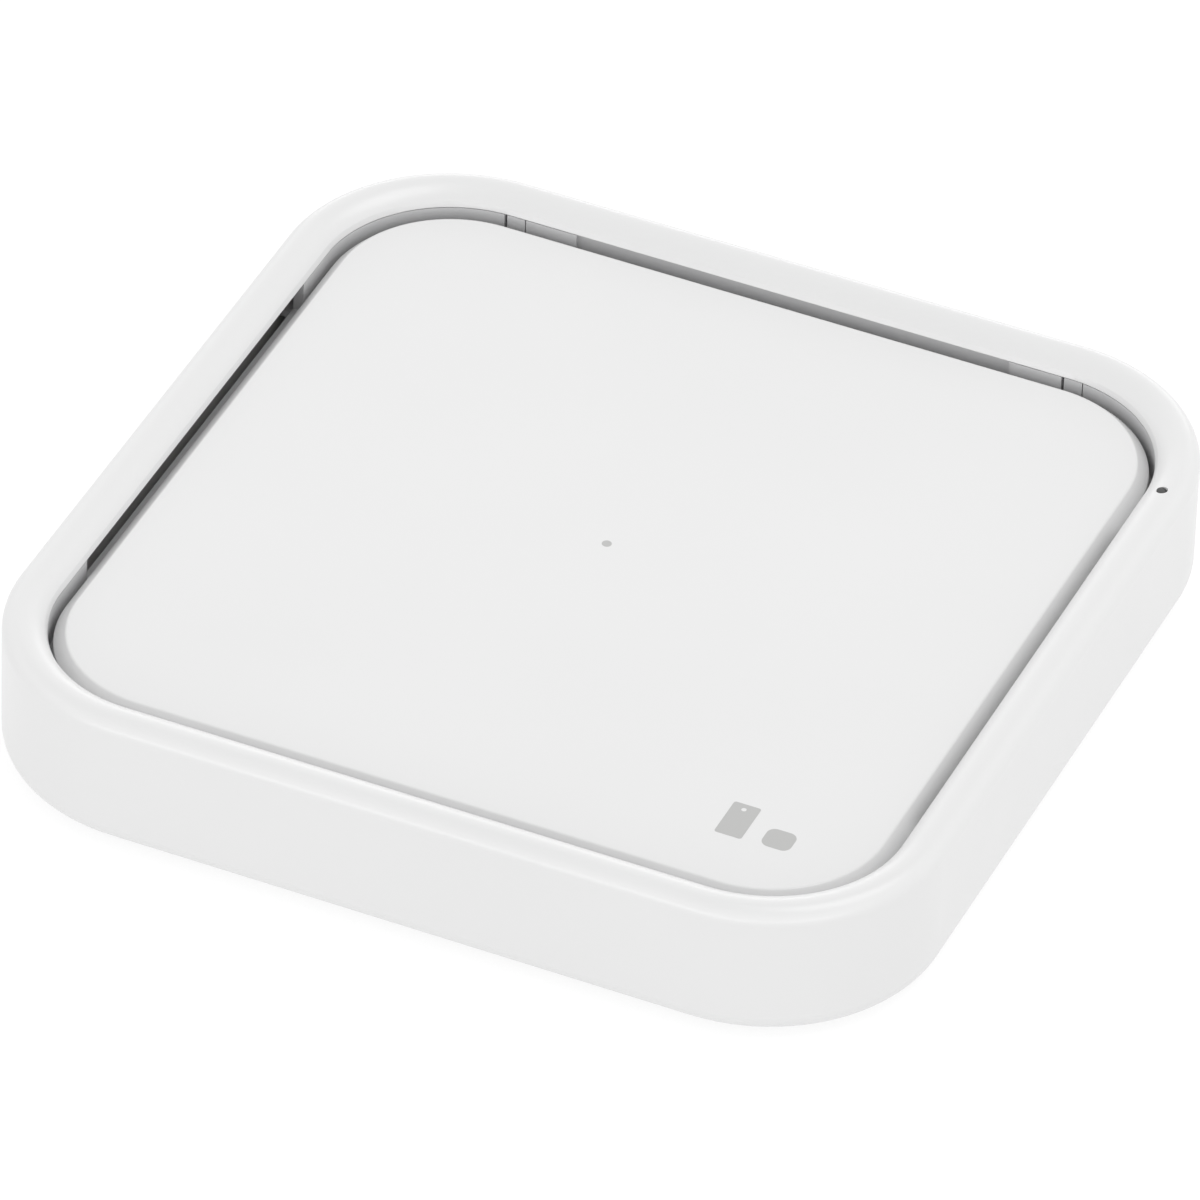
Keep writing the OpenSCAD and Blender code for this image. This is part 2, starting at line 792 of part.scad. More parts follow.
outer_case();
vent_frame();
charging_plate();
centre_mark();
phone_mark();
earbud_case_mark();
bottom_cover();
rubber_feet();
case_screws();
led_window();
light_pipe();
status_led();
transmitter_coil();
coil_leads();
coil_adhesive();
ferrite_plate();
coil_tray();
tray_screws();
shield_plate();
thermal_pad();
thermistor();
thermistor_leads();
main_board();
board_screws();
usb_shell();
usb_tongue();
usb_contacts();
wireless_controller();
bridge_chips();
power_delivery_chip();
resonant_capacitors();
bulk_capacitors();
power_inductor();
crystal();
small_capacitors();
small_resistors();
fan_socket();
fan_plug();
fan_cable();
fan_frame();
fan_screws();
fan_bearing();
fan_board();
stator_core();
stator_windings();
impeller();
rotor_magnet();
rotor_shaft();
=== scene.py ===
"""The looks of a square white wireless charging pad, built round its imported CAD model.

Lengths are millimetres until a mesh, light or camera is placed, where MM turns them into
metres. The sizes below repeat the part's own, and its inner wall, coil tray, plates, boards,
fan frame and stator core keep their CAD shape.
"""

from math import acos, asin, atan, cos, hypot, pi, radians, sin, sqrt

import bmesh
import bpy
from mathutils import Matrix, Vector


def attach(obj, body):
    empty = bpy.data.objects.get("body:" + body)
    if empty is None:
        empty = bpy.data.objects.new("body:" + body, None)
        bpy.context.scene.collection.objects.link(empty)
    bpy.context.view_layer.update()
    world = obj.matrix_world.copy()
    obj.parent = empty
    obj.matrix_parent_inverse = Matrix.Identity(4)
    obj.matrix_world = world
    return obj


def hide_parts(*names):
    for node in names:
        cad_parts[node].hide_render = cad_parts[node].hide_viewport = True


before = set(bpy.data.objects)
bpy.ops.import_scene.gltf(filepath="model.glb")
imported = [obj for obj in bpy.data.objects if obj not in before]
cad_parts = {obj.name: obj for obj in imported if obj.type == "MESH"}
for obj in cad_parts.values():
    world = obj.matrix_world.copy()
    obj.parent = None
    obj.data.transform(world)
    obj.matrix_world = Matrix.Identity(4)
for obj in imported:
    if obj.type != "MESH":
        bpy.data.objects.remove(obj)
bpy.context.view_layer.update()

MM = 0.001

# Body
BODY_W, BODY_H = 95.0, 15.1
CORNER_R, BOTTOM_R = 17.8, 2.2
WALL, HEM_W = 1.7, 2.8
HALF_W = BODY_W / 2
STRAIGHT = HALF_W - CORNER_R
FOOT_H, COVER_T = 0.5, 1.5
COVER_TOP = FOOT_H + COVER_T
RIM_W, SHOULDER_R, CROWN_R = 4.35, 1.65, 3.05
RIM_Z, RIM_DRAFT = BODY_H - 1.8, 0.45

# Charging plate
PLATE_TOP, PLATE_T = BODY_H - 1.9, 1.5
PLATE_UNDER = PLATE_TOP - PLATE_T
PLATE_IN, SKIRT_T, CHAMFER = RIM_W + 0.5, 1.2, 1.2
LEDGE_Z = PLATE_TOP - 4.6
LEDGE_TOP = LEDGE_Z + 0.8

# Fastening and feet
POST, EAR = HALF_W - 12.6, 31
FOOT_IN, FOOT_OUT, FOOT_RUN = 8.5, 12.5, 6
BOARD_HOLES = ((-30, 21), (30, 21), (-14, 37.5))
FAN_HOLES = ((-13.6, -13.6), (13.6, 13.6))

# Coil stack
WIRE_D, COIL_PITCH, COIL_TURNS, COIL_INNER = 1.15, 1.2, 11, 10.5
COIL_Z = PLATE_UNDER - 0.1 - WIRE_D
TRAY_Z = COIL_Z - 0.9 - 0.7
SHIELD_Z = TRAY_Z - 0.5

# Board, inlet and indicator
BOARD_TOP = COVER_TOP + 2.6
USB_W, USB_H, USB_L, USB_WALL = 8.94, 3.26, 7.3, 0.3
USB_Z = BOARD_TOP + USB_H / 2
USB_MOUTH = HALF_W - 0.6
LED_AT = (HALF_W - 2.3, STRAIGHT - 0.8)
LED_R = 0.55

# Fan
FAN_W, DUCT_R, HUB_R, BLADES = 32, 14.6, 7.0, 7
FAN_Z, FAN_H = COVER_TOP + 0.1, 5.2
ROTOR_Z, ROTOR_H = FAN_Z + 0.9, 3.9
BEARING_R, SHAFT_R = 1.6, 0.6

# The room: its glow, by the sine of the height above the horizon, and how far its lamps are
SKY_STRENGTH, SOFTBOX_AWAY = 1.37, 1300
SKY = ((0, 0.80), (0.2, 0.9), (0.45, 1.0), (0.65, 0.9), (0.82, 0.70), (1, 0.62))

CORNERS = ((1, 1), (-1, 1), (-1, -1), (1, -1))
SIDES = (-1, 1)


# ---- camera, floor and light


def place(name, data):
    """A new object in the scene, holding that data."""
    obj = bpy.data.objects.new(name, data)
    bpy.context.scene.collection.objects.link(obj)
    return obj


def add_camera():
    """A long lens from the front left, turned a little on its own axis."""
    azimuth, elevation, roll = radians(22.88), radians(38.41), radians(2.06)
    distance, shift_right, shift_up = 1296.46, -0.285, 4.579
    back = Vector((sin(azimuth) * cos(elevation), -cos(azimuth) * cos(elevation), sin(elevation)))
    level = Vector((cos(azimuth), sin(azimuth), 0))
    upright = back.cross(level)
    right = cos(roll) * level + sin(roll) * upright
    up = cos(roll) * upright - sin(roll) * level
    eye = Vector((0, 0, FOOT_H)) + distance * back + shift_right * right + shift_up * up
    camera = place("camera", bpy.data.cameras.new("camera"))
    axes = Matrix((right, up, back)).transposed().to_4x4()
    camera.matrix_world = Matrix.Translation(eye * MM) @ axes
    camera.data.sensor_width = 36
    camera.data.lens = 406.16
    camera.data.clip_start = 0.01
    bpy.context.scene.camera = camera


def add_softbox(name, towards, size, radiance):
    """A rectangular light seen from the pad in one direction, facing it."""
    light = bpy.data.lights.new(name, "AREA")
    light.shape = "RECTANGLE"
    light.size, light.size_y = (s * MM for s in size)
    light.energy = radiance * pi * light.size * light.size_y
    box = place(name, light)
    aim = Vector(towards).normalized()
    box.location = aim * SOFTBOX_AWAY * MM
    box.rotation_euler = aim.to_track_quat("Z", "Y").to_euler()


def add_sky():
    """A round pale room, brightest a little above the horizon and dimmer overhead."""
    world = bpy.data.worlds.new("studio")
    bpy.context.scene.world = world
    world.use_nodes = True
    tree = world.node_tree
    split = tree.nodes.new("ShaderNodeSeparateXYZ")
    ramp = tree.nodes.new("ShaderNodeValToRGB")
    background = tree.nodes["Background"]
    tree.links.new(tree.nodes.new("ShaderNodeTexCoord").outputs["Generated"], split.inputs[0])
    tree.links.new(split.outputs["Z"], ramp.inputs["Fac"])
    tree.links.new(ramp.outputs["Color"], background.inputs["Color"])
    background.inputs["Strength"].default_value = SKY_STRENGTH
    stops = ramp.color_ramp.elements
    while len(stops) < len(SKY):
        stops.new(0.5)
    for stop, (height, value) in zip(stops, SKY):
        stop.position = height
        stop.color = (value, value, value, 1)


def add_lights():
    """The room's glow, with soft boxes where it has its lamps."""
    add_sky()
    add_softbox("top_right_box", (0.324, 0.187, 0.927), (790, 790), 1.4)
    add_softbox("corner_strip", (0.734, -0.661, 0.156), (950, 270), 1.2)
    add_softbox("front_strip", (-0.137, -0.978, 0.156), (1500, 230), 1.8)
    add_softbox("back_strip", (-0.304, 0.937, 0.174), (1050, 270), 1.4)
    bpy.context.scene.view_settings.view_transform = "Standard"


def add_floor():
    """A sheet of white paper that glows a little, as an overexposed sweep does."""
    bpy.ops.mesh.primitive_plane_add(size=3000 * MM, location=(0, 0, -0.02 * MM))
    floor = bpy.context.object
    floor.name = "floor"
    paper = Paint("floor_paper")
    paper.fixed(Base_Color=(*grey(0.25), 1), Roughness=0.9, Specular_IOR_Level=0.2,
                Emission_Color=(1, 1, 1, 1), Emission_Strength=0.76)
    floor.data.materials.append(paper.material)


# ---- outlines


def arc(cx, cy, r, start, end, steps):
    """Points on a circle from one angle to another, in degrees."""
    angles = [radians(start + (end - start) * k / steps) for k in range(steps + 1)]
    return [(cx + r * cos(a), cy + r * sin(a)) for a in angles]


def rounded(points, steps=4):
    """A closed outline of (x, y, radius) corners as plain points, with each corner an arc."""
    outline = []
    for i, (x, y, r) in enumerate(points):
        corner = Vector((x, y))
        if r == 0:
            outline.append((x, y))
            continue
        before = (Vector(points[i - 1][:2]) - corner).normalized()
        after = (Vector(points[(i + 1) % len(points)][:2]) - corner).normalized()
        half = before.angle(after) / 2
        middle = corner + (before + after).normalized() * (r / sin(half))
        reach = r * cos(half) / sin(half)
        start, end = corner + before * reach - middle, corner + after * reach - middle
        turn = start.angle_signed(end)
        for k in range(steps + 1):
            outline.append(tuple(middle + Matrix.Rotation(-turn * k / steps, 2) @ start))
    return outline


def rounded_box(w, d, r, x=0, y=0, steps=4):
    """A rectangle with rounded corners, centred on x, y."""
    return rounded([(x - w / 2, y - d / 2, r), (x + w / 2, y - d / 2, r),
                    (x + w / 2, y + d / 2, r), (x - w / 2, y + d / 2, r)], steps)


def circle(r, x=0, y=0, steps=32):
    return [(x + r * cos(2 * pi * k / steps), y + r * sin(2 * pi * k / steps))
            for k in range(steps)]


def at_height(outline, z):
    return [(x, y, z) for x, y in outline]


def at_corners(reach):
    """The four places at one distance from both centre lines of the body."""
    return [(sx * reach, sy * reach) for sx, sy in CORNERS]


def slot_ring(w, h, y, z, steps=12):
    """A rounded slot's outline, w by h, seen along Y."""
    r = h / 2
    ends = arc(w / 2 - r, z, r, -90, 90, steps) + arc(r - w / 2, z, r, 90, 270, steps)
    return [(x, y, height) for x, height in ends]


def smooth_path(points, steps=4):
    """The points of a smooth curve through the given ones."""
    points = [Vector(p) for p in points]
    last = len(points) - 1
    path = []
    for i in range(last):
        a, b = points[max(i - 1, 0)], points[i]
        c, d = points[i + 1], points[min(i + 2, last)]
        for k in range(steps):
            t = k / steps
            path.append(0.5 * (2 * b + (c - a) * t + (2 * a - 5 * b + 4 * c - d) * t ** 2
                               + (3 * b - a - 3 * c + d) * t ** 3))
    return path + [points[last]]


# ---- solids


class Solid:
    """A mesh in mm, built from closed bodies, each painted with one of the piece's materials."""

    def __init__(self):
        self.bm = bmesh.new()

    def loft(self, rings, ink=0, loop=False):
        """A body through rings of points. A loop joins the last ring to the first."""
        made = [[self.bm.verts.new(p) for p in ring] for ring in rings]
        count = len(made[0])
        faces = []
        for a, b in zip(made, made[1:] + (made[:1] if loop else [])):
            faces += [(a[k - 1], b[k - 1], b[k], a[k]) for k in range(count)]
        if not loop:
            faces += [made[0], made[-1]]
        for face in faces:
            self.bm.faces.new(face).material_index = ink
        return self

    def turned(self, profile, x=0, y=0, steps=32, ink=0):
        """A body turned about a vertical line, through (radius, height) points."""
        return self.loft([at_height(circle(r, x, y, steps), z) for r, z in profile], ink)

    def hoop(self, outline, x=0, y=0, steps=48, ink=0):
        """A closed (radius, height) outline carried round a vertical line."""
        angles = [2 * pi * k / steps for k in range(steps)]
        rings = [[(x + r * cos(a), y + r * sin(a), z) for r, z in outline] for a in angles]
        return self.loft(rings, ink, loop=True)

    def block(self, x, y, z, size, edge=0.08, ink=0):
        """A box centred on x, y with its underside at z and its edges rounded."""
        made = bmesh.ops.create_cube(self.bm, size=1)["verts"]
        bmesh.ops.scale(self.bm, vec=size, verts=made)
        bmesh.ops.translate(self.bm, vec=(x, y, z + size[2] / 2), verts=made)
        for face in {f for v in made for f in v.link_faces}:
            face.material_index = ink
        edges = list({e for v in made for e in v.link_edges})
        bmesh.ops.bevel(self.bm, geom=edges, offset=edge, segments=2, profile=0.5,
                        affect="EDGES", clamp_overlap=True)
        return self

    def side_blocks(self, reach, aside, z, size, edge):
        """Two blocks along each side of the body, aside from its middle, by (depth, width, height)."""
        depth, width, height = size
        for quarter in range(4):
            turned = (width, depth, height) if quarter % 2 else size
            for side in SIDES:
                middle = Matrix.Rotation(pi / 2 * quarter, 2) @ Vector((reach, side * aside))
                self.block(*middle, z, turned, edge)
        return self

    def tube(self, path, radius, sides=10, ink=0, strands=0, lay=0.0):
        """A round wire along a path. Strands twist round it once in every lay of length."""
        tangents = []
        for i in range(len(path)):
            ahead, behind = path[min(i + 1, len(path) - 1)], path[max(i - 1, 0)]
            tangents.append((ahead - behind).normalized())
        steady = Vector((0, 0, 1)) if abs(tangents[0].z) < 0.9 else Vector((1, 0, 0))
        normal = tangents[0].cross(steady).normalized()
        rings, travelled = [], 0.0
        for i, (point, tangent) in enumerate(zip(path, tangents)):
            travelled += (point - path[i - 1]).length if i else 0
            normal = (normal - normal.dot(tangent) * tangent).normalized()
            across = tangent.cross(normal)
            ring = []
            for k in range(sides):
                a = 2 * pi * k / sides
                r = radius
                if strands:
                    turn = a - 2 * pi * travelled / lay
                    r *= 0.86 + 0.14 * abs(cos(strands * turn / 2))
                ring.append(point + r * (cos(a) * normal + sin(a) * across))
            rings.append(ring)
        return self.loft(rings, ink)

    def round_body(self, outline, closed=True, ink=0, steps=40):
        """Carries an (inset, height) outline round the body. An open one ends in flat lids."""
        places = []
        for quarter, (sx, sy) in enumerate(CORNERS):
            for k in range(steps + 1):
                a = radians(90 * quarter + 90 * k / steps)
                places.append((sx * STRAIGHT, sy * STRAIGHT, cos(a), sin(a)))
        rings = [[(cx + ox * (CORNER_R - inset), cy + oy * (CORNER_R - inset), z)
                  for cx, cy, ox, oy in places] for inset, z in outline]
        return self.loft(rings, ink, loop=closed)

    def mesh(self):
        """The finished mesh, still in mm, with every body's faces turned outwards."""
        bmesh.ops.recalc_face_normals(self.bm, faces=self.bm.faces)
        mesh = bpy.data.meshes.new("solid")
        self.bm.to_mesh(mesh)
        self.bm.free()
        return mesh


def combine(mesh, tool, operation):
    """Joins or cuts one mesh with another and returns the result."""
    pair = [place("work", m) for m in (mesh, tool)]
    modifier = pair[0].modifiers.new("combine", "BOOLEAN")
    modifier.operation = operation
    modifier.solver = "EXACT"
    modifier.object = pair[1]
    bpy.context.view_layer.update()
    graph = bpy.context.evaluated_depsgraph_get()
    result = bpy.data.meshes.new_from_object(pair[0].evaluated_get(graph))
    for obj in pair:
        bpy.data.objects.remove(obj)
    return result


def cut(mesh, tool):
    return combine(mesh, tool.mesh(), "DIFFERENCE")


def join(mesh, tool):
    return combine(mesh, tool.mesh(), "UNION")


def finish(mesh, name, node, materials, body="base", angle=38):
    """Turns a mesh in mm into the piece that stands for a CAD node."""
    if isinstance(mesh, Solid):
        mesh = mesh.mesh()
    mesh.name = name
    mesh.transform(Matrix.Scale(MM, 4))
    mesh.materials.clear()
    for material in materials:
        mesh.materials.append(material)
    mesh.shade_smooth()
    mesh.set_sharp_from_angle(angle=radians(angle))
    piece = place(name, mesh)
    weighted = piece.modifiers.new("keep_flats", "WEIGHTED_NORMAL")
    weighted.keep_sharp = True
    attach(piece, body)
    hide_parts(node)


def dress(node, material):
    """Gives a carried-over CAD node its material."""
    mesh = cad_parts[node].data
    mesh.materials.clear()
    mesh.materials.append(material)


# ---- materials


class Paint:
    """A node tree under construction: a shader plus the helpers that feed it."""

    def __init__(self, name):
        self.material = bpy.data.materials.new(name)
        self.material.use_nodes = True
        self.tree = self.material.node_tree
        self.shader = self.tree.nodes["Principled BSDF"]
        self.place = self.node("ShaderNodeTexCoord").outputs["Object"]

    def node(self, kind, **settings):
        node = self.tree.nodes.new(kind)
        for key, value in settings.items():
            setattr(node, key, value)
        return node

    def link(self, source, target):
        self.tree.links.new(source, target)

    def fixed(self, **values):
        """Sets sockets of the shader that are the same all over."""
        for key, value in values.items():
            self.shader.inputs[key.replace("_", " ")].default_value = value

    def mm(self, stretch=(1, 1, 1)):
        """The surface point in millimetres, stretched along the axes."""
        scale = self.node("ShaderNodeVectorMath", operation="MULTIPLY")
        self.link(self.place, scale.inputs[0])
        scale.inputs[1].default_value = [s / MM for s in stretch]
        return scale.outputs[0]

    def noise(self, per_mm, detail=3.0, rough=0.5, stretch=(1, 1, 1)):
        noise = self.node("ShaderNodeTexNoise")
        self.link(self.mm(stretch), noise.inputs["Vector"])
        noise.inputs["Scale"].default_value = per_mm
        noise.inputs["Detail"].default_value = detail
        noise.inputs["Roughness"].default_value = rough
        return noise.outputs["Fac"]

    def cells(self, per_mm):
        cells = self.node("ShaderNodeTexVoronoi")
        self.link(self.mm(), cells.inputs["Vector"])
        cells.inputs["Scale"].default_value = per_mm
        return cells.outputs["Distance"]

    def spread(self, source, low, high, start=0.3, end=0.7):
        """Maps a value between start and end onto low to high."""
        span = self.node("ShaderNodeMapRange")
        self.link(source, span.inputs["Value"])
        limits = zip(("From Min", "From Max", "To Min", "To Max"), (start, end, low, high))
        for socket, value in limits:
            span.inputs[socket].default_value = value
        return span.outputs["Result"]

    def part(self, source, index):
        """One coordinate of a vector, as x, y and z are 0, 1 and 2."""
        split = self.node("ShaderNodeSeparateXYZ")
        self.link(source, split.inputs[0])
        return split.outputs[index]

    def sum(self, a, b, operation="ADD"):
        total = self.node("ShaderNodeMath", operation=operation)
        for socket, value in zip(total.inputs, (a, b)):
            if isinstance(value, (int, float)):
                socket.default_value = value
            else:
                self.link(value, socket)
        return total.outputs[0]

    def mix(self, factor, a, b):
        mix = self.node("ShaderNodeMix", data_type="RGBA")
        self.link(factor, mix.inputs["Factor"])
        for socket, colour in ((mix.inputs["A"], a), (mix.inputs["B"], b)):
            if isinstance(colour, tuple):
                socket.default_value = (*colour, 1)
            else:
                self.link(colour, socket)
        return mix.outputs["Result"]

    def colour(self, source):
        self.link(source, self.shader.inputs["Base Color"])

    def roughness(self, source):
        self.link(source, self.shader.inputs["Roughness"])

    def bump(self, height, depth):
        """Adds a bump layer of that depth in mm on top of the earlier ones."""
        bump = self.node("ShaderNodeBump")
        bump.inputs["Distance"].default_value = depth * MM
        self.link(height, bump.inputs["Height"])
        normal = self.shader.inputs["Normal"]
        if normal.is_linked:
            self.link(normal.links[0].from_socket, bump.inputs["Normal"])
        self.link(bump.outputs["Normal"], normal)


def grey(value):
    return value, value, value


def shade(colour, factor):
    return tuple(c * factor for c in colour)


def moulded_plastic(name, colour, gloss, grain=0.1, depth=0.0006, tint=0.985):
    """Injection-moulded plastic: a slow tone drift, a fine mould grain and handling haze."""
    paint = Paint(name)
    drift = paint.spread(paint.noise(0.03, detail=2), 0, 1)
    paint.colour(paint.mix(drift, colour, shade(colour, tint)))
    haze = paint.noise(0.12, detail=5, rough=0.6)
    paint.roughness(paint.spread(haze, gloss, gloss + 0.05))
    paint.bump(paint.noise(0.25, detail=2), 0.004)
    paint.bump(paint.noise(1 / grain, detail=4, rough=0.65), depth)
    paint.fixed(IOR=1.5, Specular_IOR_Level=1.0)
    return paint.material


def soft_rubber(name, colour):
    """Silicone rubber: matte, with a fine etched grain and a trace of dust."""
    paint = Paint(name)
    dust = paint.spread(paint.noise(0.5, detail=6, rough=0.7), 0, 1, 0.45, 0.75)
    paint.colour(paint.mix(dust, colour, shade(colour, 1.35)))
    paint.roughness(paint.spread(paint.noise(2, detail=4), 0.62, 0.8))
    paint.bump(paint.cells(5), 0.012)
    paint.bump(paint.noise(14, detail=3), 0.006)
    paint.fixed(IOR=1.43, Specular_IOR_Level=0.4)
    return paint.material


def metal(name, colour, gloss, lines=(1, 1, 1), depth=0.001):
    """Plated or rolled metal: fine lines along one axis, spots of haze and light scratches."""
    paint = Paint(name)
    haze = paint.noise(0.6, detail=5, rough=0.6)
    paint.colour(paint.mix(paint.spread(haze, 0, 1), colour, shade(colour, 0.9)))
    rolled = paint.noise(3, detail=4, rough=0.7, stretch=lines)
    paint.roughness(paint.spread(rolled, gloss, gloss + 0.16))
    paint.bump(rolled, depth)
    paint.fixed(Metallic=1.0)
    return paint.material


def ceramic(name, colour, speck, gloss=0.45, size=6):
    """A pressed or fired ceramic: a grain of specks with a slightly uneven sheen."""
    paint = Paint(name)
    specks = paint.spread(paint.noise(size, detail=6, rough=0.8), 0, 1, 0.42, 0.62)
    paint.colour(paint.mix(specks, colour, speck))
    paint.roughness(paint.spread(paint.noise(2, detail=4), gloss, gloss + 0.18))
    paint.bump(paint.noise(size, detail=5, rough=0.7), 0.006)
    return paint.material


def twisted_copper(name, colour):
    """Enamelled copper strands: each run of enamel a little lighter or darker."""
    paint = Paint(name)
    strands = paint.noise(5, detail=2, stretch=(1, 1, 2))
    paint.colour(paint.mix(paint.spread(strands, 0, 1), shade(colour, 0.75), colour))
    paint.roughness(paint.spread(paint.noise(3, detail=3), 0.26, 0.42))
    paint.bump(paint.noise(9, detail=3, rough=0.6), 0.012)
    paint.fixed(Metallic=0.85, Coat_Weight=0.4, Coat_Roughness=0.2)
    return paint.material


def clear_plastic(name, colour):
    """Moulded acrylic: clear, with faint flow lines."""
    paint = Paint(name)
    flow = paint.noise(0.8, detail=3, stretch=(1, 1, 0.2))
    paint.colour(paint.mix(paint.spread(flow, 0, 1), colour, shade(colour, 0.95)))
    paint.roughness(paint.spread(flow, 0.08, 0.16))
    paint.bump(flow, 0.002)
    paint.fixed(IOR=1.49, Transmission_Weight=0.9)
    return paint.material


def solder_mask(name):
    """A circuit board: mask over copper tracks on its faces, woven laminate on its edges."""
    paint = Paint(name)
    tracks = paint.node("ShaderNodeTexVoronoi", distance="MANHATTAN")
    paint.link(paint.mm(), tracks.inputs["Vector"])
    tracks.inputs["Scale"].default_value = 0.35
    tracks.inputs["Randomness"].default_value = 0.6
    lines = paint.sum(tracks.outputs["Distance"], 7.0, "MULTIPLY")
    lines = paint.sum(lines, 1.0, "FRACT")
    raised = paint.spread(lines, 0, 1, 0.42, 0.5)
    mask = paint.mix(raised, (0.012, 0.10, 0.045), (0.03, 0.19, 0.08))
    weave = paint.noise(3, detail=4, stretch=(0.4, 0.4, 6))
    laminate = paint.mix(weave, (0.42, 0.40, 0.20), (0.62, 0.58, 0.34))
    facing = paint.node("ShaderNodeNewGeometry").outputs["Normal"]
    upright = paint.sum(paint.part(facing, 2), 0.5, "MULTIPLY")
    flat = paint.sum(paint.sum(upright, 0.0, "ABSOLUTE"), 0.3, "GREATER_THAN")
    paint.colour(paint.mix(flat, laminate, mask))
    paint.roughness(paint.spread(paint.noise(0.5, detail=4), 0.28, 0.4))
    paint.bump(raised, 0.02)
    return paint.material


def laminated_steel(name):
    """Punched core plates: thin dark lines between the sheets, seen on the sides."""
    paint = Paint(name)
    height = paint.sum(paint.part(paint.mm(), 2), 5.0, "MULTIPLY")
    gap = paint.sum(paint.sum(height, 1.0, "FRACT"), 0.85, "GREATER_THAN")
    paint.colour(paint.mix(gap, (0.42, 0.42, 0.44), (0.10, 0.09, 0.09)))
    paint.roughness(paint.spread(paint.noise(3, detail=4), 0.34, 0.5))
    paint.bump(paint.noise(4, detail=3), 0.004)
    paint.fixed(Metallic=0.9)
    return paint.material


# ---- outer shells


def case_outline():
    """Outer wall, shoulder, crown, the rim's steep inner face, its underside and the wall."""
    crown_z = BODY_H - CROWN_R
    reach = RIM_W + RIM_DRAFT * RIM_Z - SHOULDER_R - RIM_DRAFT * crown_z
    crease_at = atan(RIM_DRAFT) + acos(reach / (CROWN_R * hypot(1, RIM_DRAFT)))
    crease = (SHOULDER_R + CROWN_R * cos(crease_at), crown_z + CROWN_R * sin(crease_at), 0.12)
    shoulder = arc(SHOULDER_R, BODY_H - SHOULDER_R, SHOULDER_R, 180, 90, 16)
    crown = arc(SHOULDER_R, crown_z, CROWN_R, 90, 180 / pi * crease_at + 5, 16)
    inner = rounded([
        (*crown[-1], 0), crease, (RIM_W, RIM_Z, 0.06), (WALL, RIM_Z, 0.4),
        (WALL, COVER_TOP, 0.25), (HEM_W, COVER_TOP, 0.15), (HEM_W, FOOT_H, 0.15),
        (BOTTOM_R, FOOT_H, 0),
    ])
    foot = arc(BOTTOM_R, FOOT_H + BOTTOM_R, BOTTOM_R, 270, 180, 14)
    return shoulder + crown[1:] + inner[1:-1] + foot


def build_case(plastic):
    """The case with the ribs that its inner wall stands on, the inlet's mouth and the lamp's hole."""
    mesh = Solid().round_body(case_outline()).mesh()
    rib_at, rib_size = 27, (1.6, 1.2, LEDGE_Z - COVER_TOP - 0.1)
    mesh = join(mesh, Solid().side_blocks(HALF_W - WALL - 0.7, rib_at, COVER_TOP + 0.1, rib_size, 0.15))
    play, flare = 0.35, 0.3
    w, h = USB_W + 2 * play, USB_H + 2 * play
    steps = ((0, -4), (0, -flare), (flare, -0.06), (2.6 * flare, 0.3))
    mesh = cut(mesh, Solid().loft(
        [slot_ring(w + grow, h + grow, HALF_W + deep, USB_Z) for grow, deep in steps]))
    mesh = cut(mesh, Solid().turned(
        [(LED_R, RIM_Z - 1), (LED_R, BODY_H - 0.12), (LED_R + 0.08, BODY_H + 0.3)], *LED_AT))
    finish(mesh, "case_shell", "outer_case", [plastic])


def build_plate(plastic):
    """The sunken plate: flat face, softened chamfer, skirt, hooks and screw posts."""
    inner = PLATE_IN + SKIRT_T
    outline = rounded([
        (PLATE_IN + CHAMFER + 2, PLATE_TOP, 0), (PLATE_IN + CHAMFER, PLATE_TOP, 0.4),
        (PLATE_IN, PLATE_TOP - CHAMFER, 0.25), (PLATE_IN, LEDGE_TOP, 0.15),
        (inner, LEDGE_TOP, 0.15), (inner, PLATE_UNDER, 0.3), (inner + 2, PLATE_UNDER, 0),
    ])
    mesh = Solid().round_body(outline, closed=False).mesh()
    hook_at, hook_w, hook_z = 14, 5, LEDGE_Z - 0.6
    extras = Solid().side_blocks(HALF_W - PLATE_IN - 0.6, hook_at, hook_z,
                                 (0.9, hook_w, LEDGE_TOP - LEDGE_Z + 1.4), 0.12)
    for x, y in at_corners(EAR):
        extras.turned([(2.1, TRAY_Z + 0.75), (2.2, TRAY_Z + 0.85), (2.2, PLATE_UNDER + 0.4)], x, y)
    mesh = join(mesh, extras)
    barbs = Solid().side_blocks(HALF_W - PLATE_IN + 0.1, hook_at, hook_z, (0.6, hook_w, 0.5), 0.1)
    mesh = join(mesh, barbs)
    holes = Solid()
    for x, y in at_corners(EAR):
        holes.turned([(0.85, TRAY_Z), (0.75, TRAY_Z + 0.9), (0.75, PLATE_UNDER - 0.3)], x, y, 24)
    finish(cut(mesh, holes), "plate_shell", "charging_plate", [plastic])


def build_marks(ink):
    """Printed marks: thin layers of ink, a touch proud of the plate."""
    low, high = PLATE_TOP - 0.08, PLATE_TOP + 0.012

    def print_mark(name, node, outline, hole=None):
        mesh = Solid().loft([at_height(outline, low), at_height(outline, high)]).mesh()
        if hole:
            mesh = cut(mesh, Solid().loft([at_height(hole, low - 1), at_height(hole, high + 1)]))
        finish(mesh, name, node, [ink])

    print_mark("centre_dot", "centre_mark", circle(0.48, steps=40))
    print_mark("phone_print", "phone_mark", rounded_box(2.75, 4.85, 0.25, 27.9, -32.5, 6),
               circle(0.26, 27.8, -30.85, 20))
    print_mark("earbud_case_print", "earbud_case_mark",
               rounded_box(2.95, 2.7, 0.85, 32.5, -33.45, 10))


